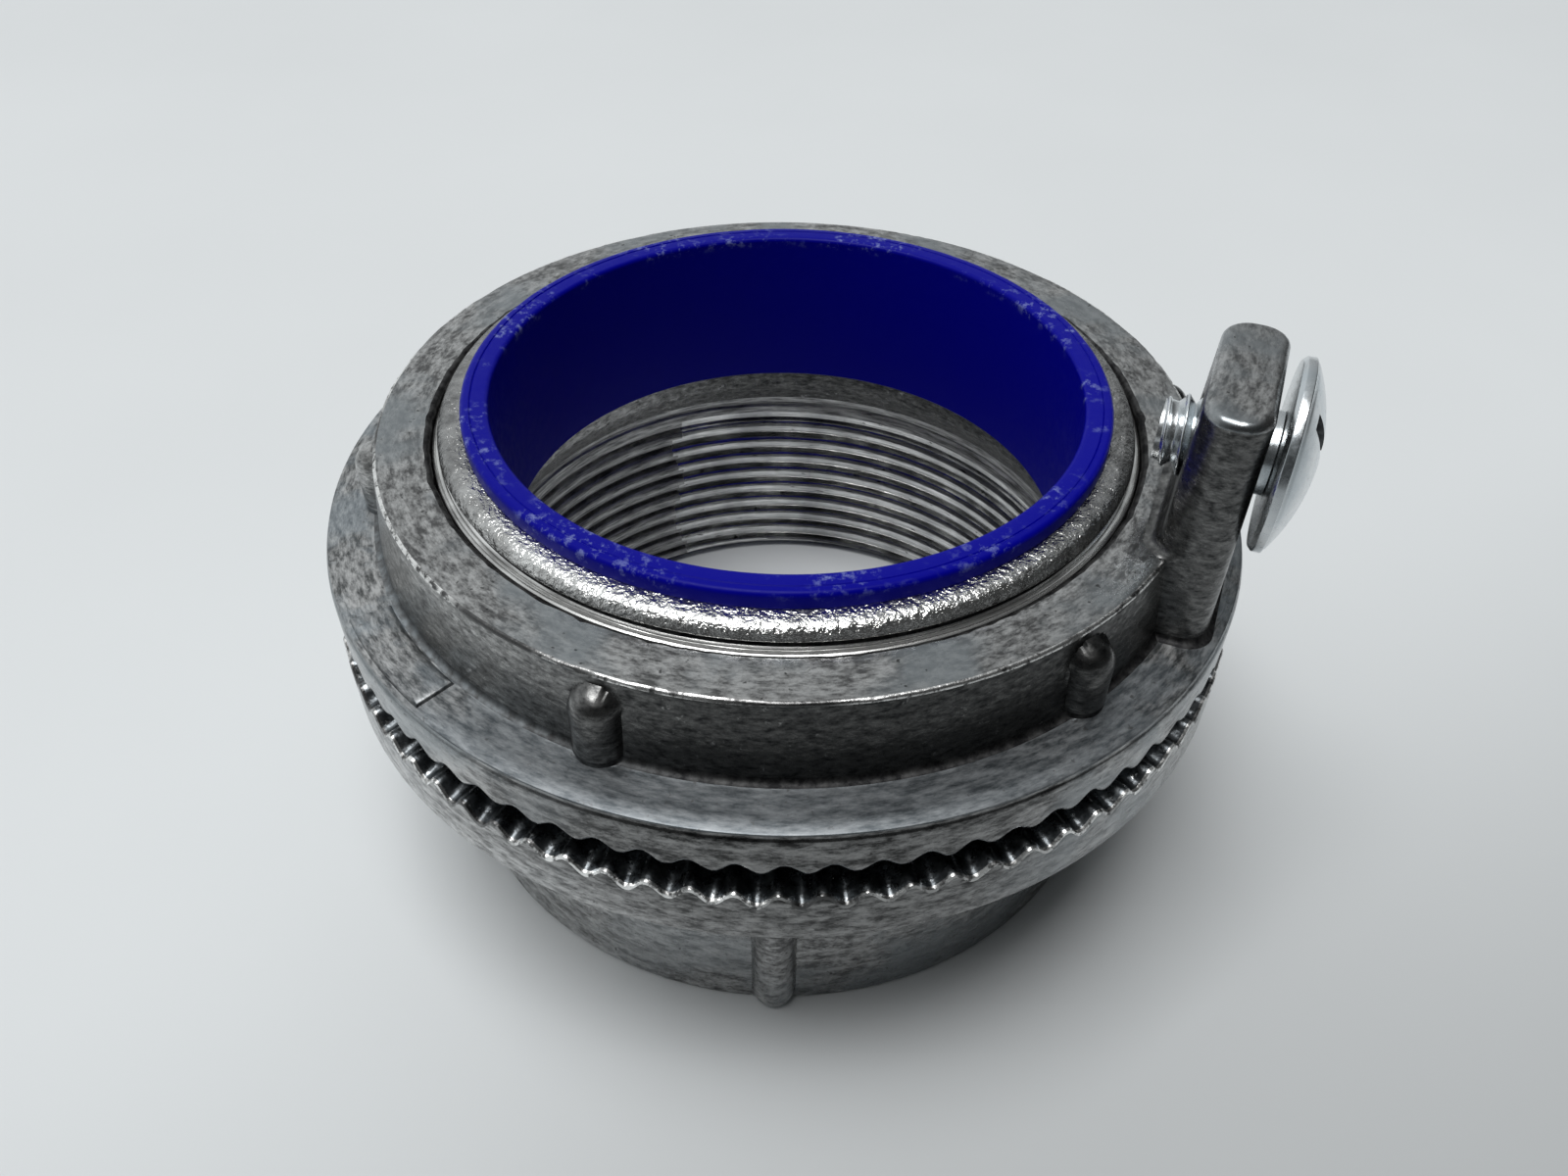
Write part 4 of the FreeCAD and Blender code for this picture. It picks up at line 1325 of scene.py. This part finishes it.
def dull_thread(colours):
    """The conduit thread where the cast skin was left: grey, with short bright scratches."""
    shader = Shader("dull_thread", 0.9, 0.45)
    lines = shader.speckle(0.3, 5.0, 0.7, (1, 1, 12))
    base = shader.blend(lines, 0.35, 0.72, colours.zinc_dark, (0.62, 0.62, 0.61))
    normal = shader.uneven(0.4, 0.05, 0.7, (1, 1, 6))
    return shader.finish(base, shader.ramp(lines, 0.35, 0.7, 0.5, 0.35), normal)


def hammered_collar(colours):
    """The nipple's rounded end: a hammered skin, with a painted highlight that makes it bright on its front
    side and dull on the other.
    """
    shader = Shader("hammered_collar", 1.0, 0.2)
    dents = shader.speckle(1.5, 3.0, 0.6)
    blotches = shader.speckle(0.5, 6.0, 0.7)
    bright = shader.blend(blotches, 0.36, 0.6, (0.50, 0.50, 0.49), colours.zinc_bright)
    dull = shader.blend(blotches, 0.36, 0.6, (0.16, 0.16, 0.16), (0.38, 0.38, 0.375))
    # Painted highlight: the collar is painted bright on its front side and dull on the other.
    base = shader.mix(shader.drift(HIGHLIGHT_SIDE, 12, 26), dull, bright)
    normal = shader.bump(dents, 0.26, 1.0)
    return shader.finish(base, shader.ramp(blotches, 0.3, 0.7, 0.3, 0.12), normal)


def turned_thread(colours):
    """The nipple's cut thread and turned land: fine bright lines round the axis."""
    shader = Shader("turned_thread", 1.0, 0.22)
    lines = shader.speckle(0.25, 4.0, 0.7, (1, 1, 40))
    base = shader.blend(lines, 0.3, 0.65, (0.28, 0.28, 0.275), colours.zinc_bright)
    normal = shader.uneven(0.2, 0.03, 0.7, (1, 1, 20))
    return shader.finish(base, shader.ramp(lines, 0.3, 0.7, 0.35, 0.2), normal)


def liner_plastic(colours):
    """Moulded blue plastic, with whitened scuffs along its rim and a slightly uneven gloss."""
    shader = Shader("liner_plastic", 0.0, 0.4)
    shader.surface.inputs["Specular IOR Level"].default_value = 0.08
    scuffs = shader.speckle(1.0, 7.0, 0.75)
    rim_height = LINER_HIGH[2] / MM
    rim = shader.ramp(shader.part(shader.stretched(EVEN), "Z"), rim_height - 1.1, rim_height - 0.2)
    clusters = shader.speckle(0.14, 2.0, 0.5)
    scraped = shader.product(shader.ramp(scuffs, 0.53, 0.64), shader.ramp(clusters, 0.44, 0.56))
    base = shader.mix(shader.product(scraped, rim), colours.liner_blue, colours.liner_scuff)
    normal = shader.uneven(0.8, 0.04, 0.5)
    return shader.finish(base, shader.ramp(scuffs, 0.4, 0.7, 0.34, 0.5), normal)


def ring_rubber(colours):
    """Black moulded rubber, matt with a faint bloom."""
    shader = Shader("ring_rubber", 0.0, 0.7)
    bloom = shader.speckle(0.4, 5.0, 0.6)
    base = shader.blend(bloom, 0.4, 0.75, colours.seal_black, (0.05, 0.05, 0.052))
    return shader.finish(base, shader.ramp(bloom, 0.3, 0.7, 0.62, 0.8), shader.bump(bloom, 0.03, 0.4))


def screw_plating(colours):
    """Bright zinc plate on steel, with a faint bluish drift and fine handling marks."""
    shader = Shader("screw_plating", 1.0, 0.22)
    drift = shader.speckle(0.25, 3.0, 0.5)
    marks = shader.speckle(2.0, 6.0, 0.7)
    base = shader.blend(drift, 0.35, 0.65, colours.plated_steel, (0.60, 0.65, 0.68))
    normal = shader.uneven(0.7, 0.02, 0.5)
    return shader.finish(base, shader.ramp(marks, 0.35, 0.7, 0.18, 0.32), normal)


def recess_painted_shade():
    """The walls of the screw's recess, painted dark and dull as painted shade."""
    shader = Shader("recess_painted_shade", 1.0, 0.5)
    recess_mottle = shader.speckle(1.2, 4.0, 0.6)
    # Painted shade: the recess is painted dark.
    return shader.finish(shader.blend(recess_mottle, 0.35, 0.65, (0.05, 0.053, 0.056), (0.15, 0.158, 0.165)))


# A painted shadow dims the floor's paper towards the front right, to a share of its colour; painted shade
# makes its folds a little darker.
PAINTED_SHADOW_TOWARDS = (0.742, -0.670, 0)
PAINTED_SHADOW_SHARE = 0.5
FOLD_SHADE_SHARE = 0.97


def floor_paper(colours):
    """Pale paper with soft folds, a painted shadow towards the front right and painted shade in its folds."""
    shader = Shader("floor_paper", 0.0, 0.8)
    folds = shader.speckle(0.012, 3.0, 0.5)
    shaded = [part * FOLD_SHADE_SHARE for part in colours.floor]
    # Painted shadow: a darker copy of the paper, mixed in towards the front right.
    dim = [part * PAINTED_SHADOW_SHARE for part in colours.floor]
    paper = shader.blend(folds, 0.3, 0.7, colours.floor, shaded)
    tint = shader.mix(shader.drift(PAINTED_SHADOW_TOWARDS, -5, 115), paper, dim)
    return shader.finish(tint, None, shader.bump(folds, 3.0, 0.25))


def dress(piece, body, node):
    """Puts a piece in a CAD node's place."""
    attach(piece, body)
    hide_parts(node)


def zinc_finishes(colours):
    """The castings' materials in the order of the finish numbers, each made once."""
    makers = (cast_skin, chilled_face, streaked_wall_painted_shade, corner_painted_shade, worn_edge, tooth_faces, bright_thread,
              dull_thread, hammered_collar, turned_thread)
    return [bpy.data.materials.get(maker.__name__) or maker(colours) for maker in makers]


class BuildHubBody(bpy.types.Operator):
    """Builds the hub casting"""

    bl_idname = "conduit_hub.hub_body"
    bl_label = "Hub body"

    def execute(self, context):
        settings = context.scene.conduit_hub
        piece = hub_body_skin(settings.hub_body).piece("hub_casting", zinc_finishes(settings.finishes))
        dress(piece, "hub", "hub_body")
        return {"FINISHED"}


class BuildLocknut(bpy.types.Operator):
    """Builds the locknut casting"""

    bl_idname = "conduit_hub.locknut"
    bl_label = "Locknut"

    def execute(self, context):
        settings = context.scene.conduit_hub
        skin = locknut_skin(settings.locknut, settings.screw)
        piece = skin.piece("locknut_casting", zinc_finishes(settings.finishes))
        dress(piece, "locknut", "locknut")
        return {"FINISHED"}


class BuildLiner(bpy.types.Operator):
    """Builds the throat liner"""

    bl_idname = "conduit_hub.liner"
    bl_label = "Throat liner"

    def execute(self, context):
        settings = context.scene.conduit_hub
        piece = liner_skin(settings.liner).piece("liner_moulding", [liner_plastic(settings.finishes)])
        dress(piece, "hub", "throat_liner")
        return {"FINISHED"}


class BuildSeal(bpy.types.Operator):
    """Builds the sealing ring"""

    bl_idname = "conduit_hub.seal"
    bl_label = "Sealing ring"

    def execute(self, context):
        settings = context.scene.conduit_hub
        piece = seal_skin(settings.seal).piece("seal_moulding", [ring_rubber(settings.finishes)])
        dress(piece, "hub", "sealing_ring")
        return {"FINISHED"}


class BuildScrew(bpy.types.Operator):
    """Builds the bonding screw"""

    bl_idname = "conduit_hub.screw"
    bl_label = "Bonding screw"

    def execute(self, context):
        settings = context.scene.conduit_hub
        sizes = settings.screw
        piece = screw_skin(sizes).piece("bonding_screw_turned", [screw_plating(settings.finishes)])
        # The recess's cut faces get painted shade.
        cut_recess(piece, sizes, recess_painted_shade())
        along_x = Matrix(((0, 0, 1, 0), (1, 0, 0, 0), (0, 1, 0, sizes.axis_height), (0, 0, 0, 1)))
        piece.data.transform(along_x)
        dress(piece, "bonding_screw", "bonding_screw")
        return {"FINISHED"}


# The camera stands where the photograph was taken from; the image is taken as 1600 by 1200.
CAMERA_PLACE = Vector((31.74, -81.0, 98.92)) * MM
CAMERA_FORWARD = Vector((-0.2687, 0.6857, -0.6765))
CAMERA_ROLL = 0.0146
CAMERA_LENS = 27.99
CAMERA_SENSOR = 36
CAMERA_NEAR = 0.005
CAMERA_FAR = 20
# The soft square lamp overhead: its place and side in metres, and its power in watts.
LAMP_PLACE = Vector((-0.15, -0.30, 1.86))
LAMP_SIDE = 1.08
LAMP_POWER = 26.5
# The surround: its colour, the way to its brightest part, its strength there and where it is dim, and the
# cosine of the angle from the brightest part beyond which it is dim.
SKY_COLOUR = (0.95, 0.985, 1.0, 1)
SKY_BRIGHTEST = Vector((-0.84, 0.42, 0.36))
SKY_BRIGHT = 0.72
SKY_DIM = 0.05
SKY_DIM_COSINE = -0.2
# The floor's reach to each side, and how far it lies below the hub so that no faces coincide.
FLOOR_REACH = 3.0
FLOOR_GAP = 0.02 * MM


def add_camera(scene):
    """The camera at the photograph's place and angle."""
    data = bpy.data.cameras.new("photo_camera")
    data.sensor_fit = "HORIZONTAL"
    data.sensor_width = CAMERA_SENSOR
    data.lens = CAMERA_LENS
    data.clip_start = CAMERA_NEAR
    data.clip_end = CAMERA_FAR
    camera = added_object("photo_camera", data)
    forward = CAMERA_FORWARD.normalized()
    right = forward.cross(Vector((0, 0, 1))).normalized()
    up = right.cross(forward)
    across = right * math.cos(CAMERA_ROLL) + up * math.sin(CAMERA_ROLL)
    upward = up * math.cos(CAMERA_ROLL) - right * math.sin(CAMERA_ROLL)
    camera.matrix_world = Matrix((across, upward, -forward)).transposed().to_4x4()
    camera.location = CAMERA_PLACE
    scene.camera = camera


def add_lamp():
    """The lamp, turned to the hub's foot."""
    data = bpy.data.lights.new("ceiling_lamp", "AREA")
    data.size = LAMP_SIDE
    data.energy = LAMP_POWER
    lamp = added_object("ceiling_lamp", data)
    lamp.location = LAMP_PLACE
    lamp.rotation_euler = (-LAMP_PLACE).to_track_quat("-Z", "Y").to_euler()


def add_floor(colours):
    """The sheet of paper that the hub stands on."""
    draft = bmesh.new()
    bmesh.ops.create_grid(draft, x_segments=8, y_segments=8, size=FLOOR_REACH)
    mesh = finished_mesh("floor", draft)
    mesh.materials.append(floor_paper(colours))
    floor = added_object("floor", mesh)
    floor.location.z = CAD_BOX[0][2] - FLOOR_GAP


def studio_sky():
    """A soft surround, brightest up on the left behind the hub and dim in front."""
    world = bpy.data.worlds.new("studio_sky")
    world.use_nodes = True
    tree = world.node_tree
    background = tree.nodes["Background"]
    background.inputs["Color"].default_value = SKY_COLOUR
    place = add_node(tree, "ShaderNodeTexCoord", {}).outputs["Generated"]
    ways = {0: place, 1: SKY_BRIGHTEST.normalized()}
    cosine = add_node(tree, "ShaderNodeVectorMath", ways, operation="DOT_PRODUCT").outputs["Value"]
    limits = {"Value": cosine, "From Min": SKY_DIM_COSINE, "From Max": 1.0, "To Min": SKY_DIM,
              "To Max": SKY_BRIGHT}
    strength = add_node(tree, "ShaderNodeMapRange", limits, interpolation_type="SMOOTHSTEP")
    feed(tree, background.inputs["Strength"], strength.outputs["Result"])
    return world


class BuildStage(bpy.types.Operator):
    """Builds the floor, the lamp, the world and the camera"""

    bl_idname = "conduit_hub.stage"
    bl_label = "Stage"

    def execute(self, context):
        scene = context.scene
        add_floor(scene.conduit_hub.finishes)
        scene.world = studio_sky()
        add_lamp()
        scene.view_settings.view_transform = "Standard"
        add_camera(scene)
        return {"FINISHED"}


OPERATORS = (BuildHubBody, BuildLocknut, BuildLiner, BuildSeal, BuildScrew, BuildStage)


class ConduitHubPanel(bpy.types.Panel):
    """Lists the pieces that can be built"""

    bl_idname = "VIEW3D_PT_conduit_hub"
    bl_label = "Conduit Hub"
    bl_space_type = "VIEW_3D"
    bl_region_type = "UI"
    bl_category = "Conduit Hub"

    def draw(self, context):
        for operator in OPERATORS:
            self.layout.operator(operator.bl_idname)


CLASSES = (HubBodySizes, LocknutSizes, LinerSizes, SealSizes, ScrewSizes, Finishes, ConduitHubSettings,
           *OPERATORS, ConduitHubPanel)


def register():
    """Registers the classes and the settings."""
    for entry in CLASSES:
        bpy.utils.register_class(entry)
    bpy.types.Scene.conduit_hub = PointerProperty(type=ConduitHubSettings)


def unregister():
    """Takes the settings and the classes out again."""
    del bpy.types.Scene.conduit_hub
    for entry in reversed(CLASSES):
        bpy.utils.unregister_class(entry)


def main():
    """Builds every piece and the stage."""
    register()
    bpy.ops.conduit_hub.hub_body()
    bpy.ops.conduit_hub.locknut()
    bpy.ops.conduit_hub.liner()
    bpy.ops.conduit_hub.seal()
    bpy.ops.conduit_hub.screw()
    bpy.ops.conduit_hub.stage()


if __name__ == "__main__":
    main()
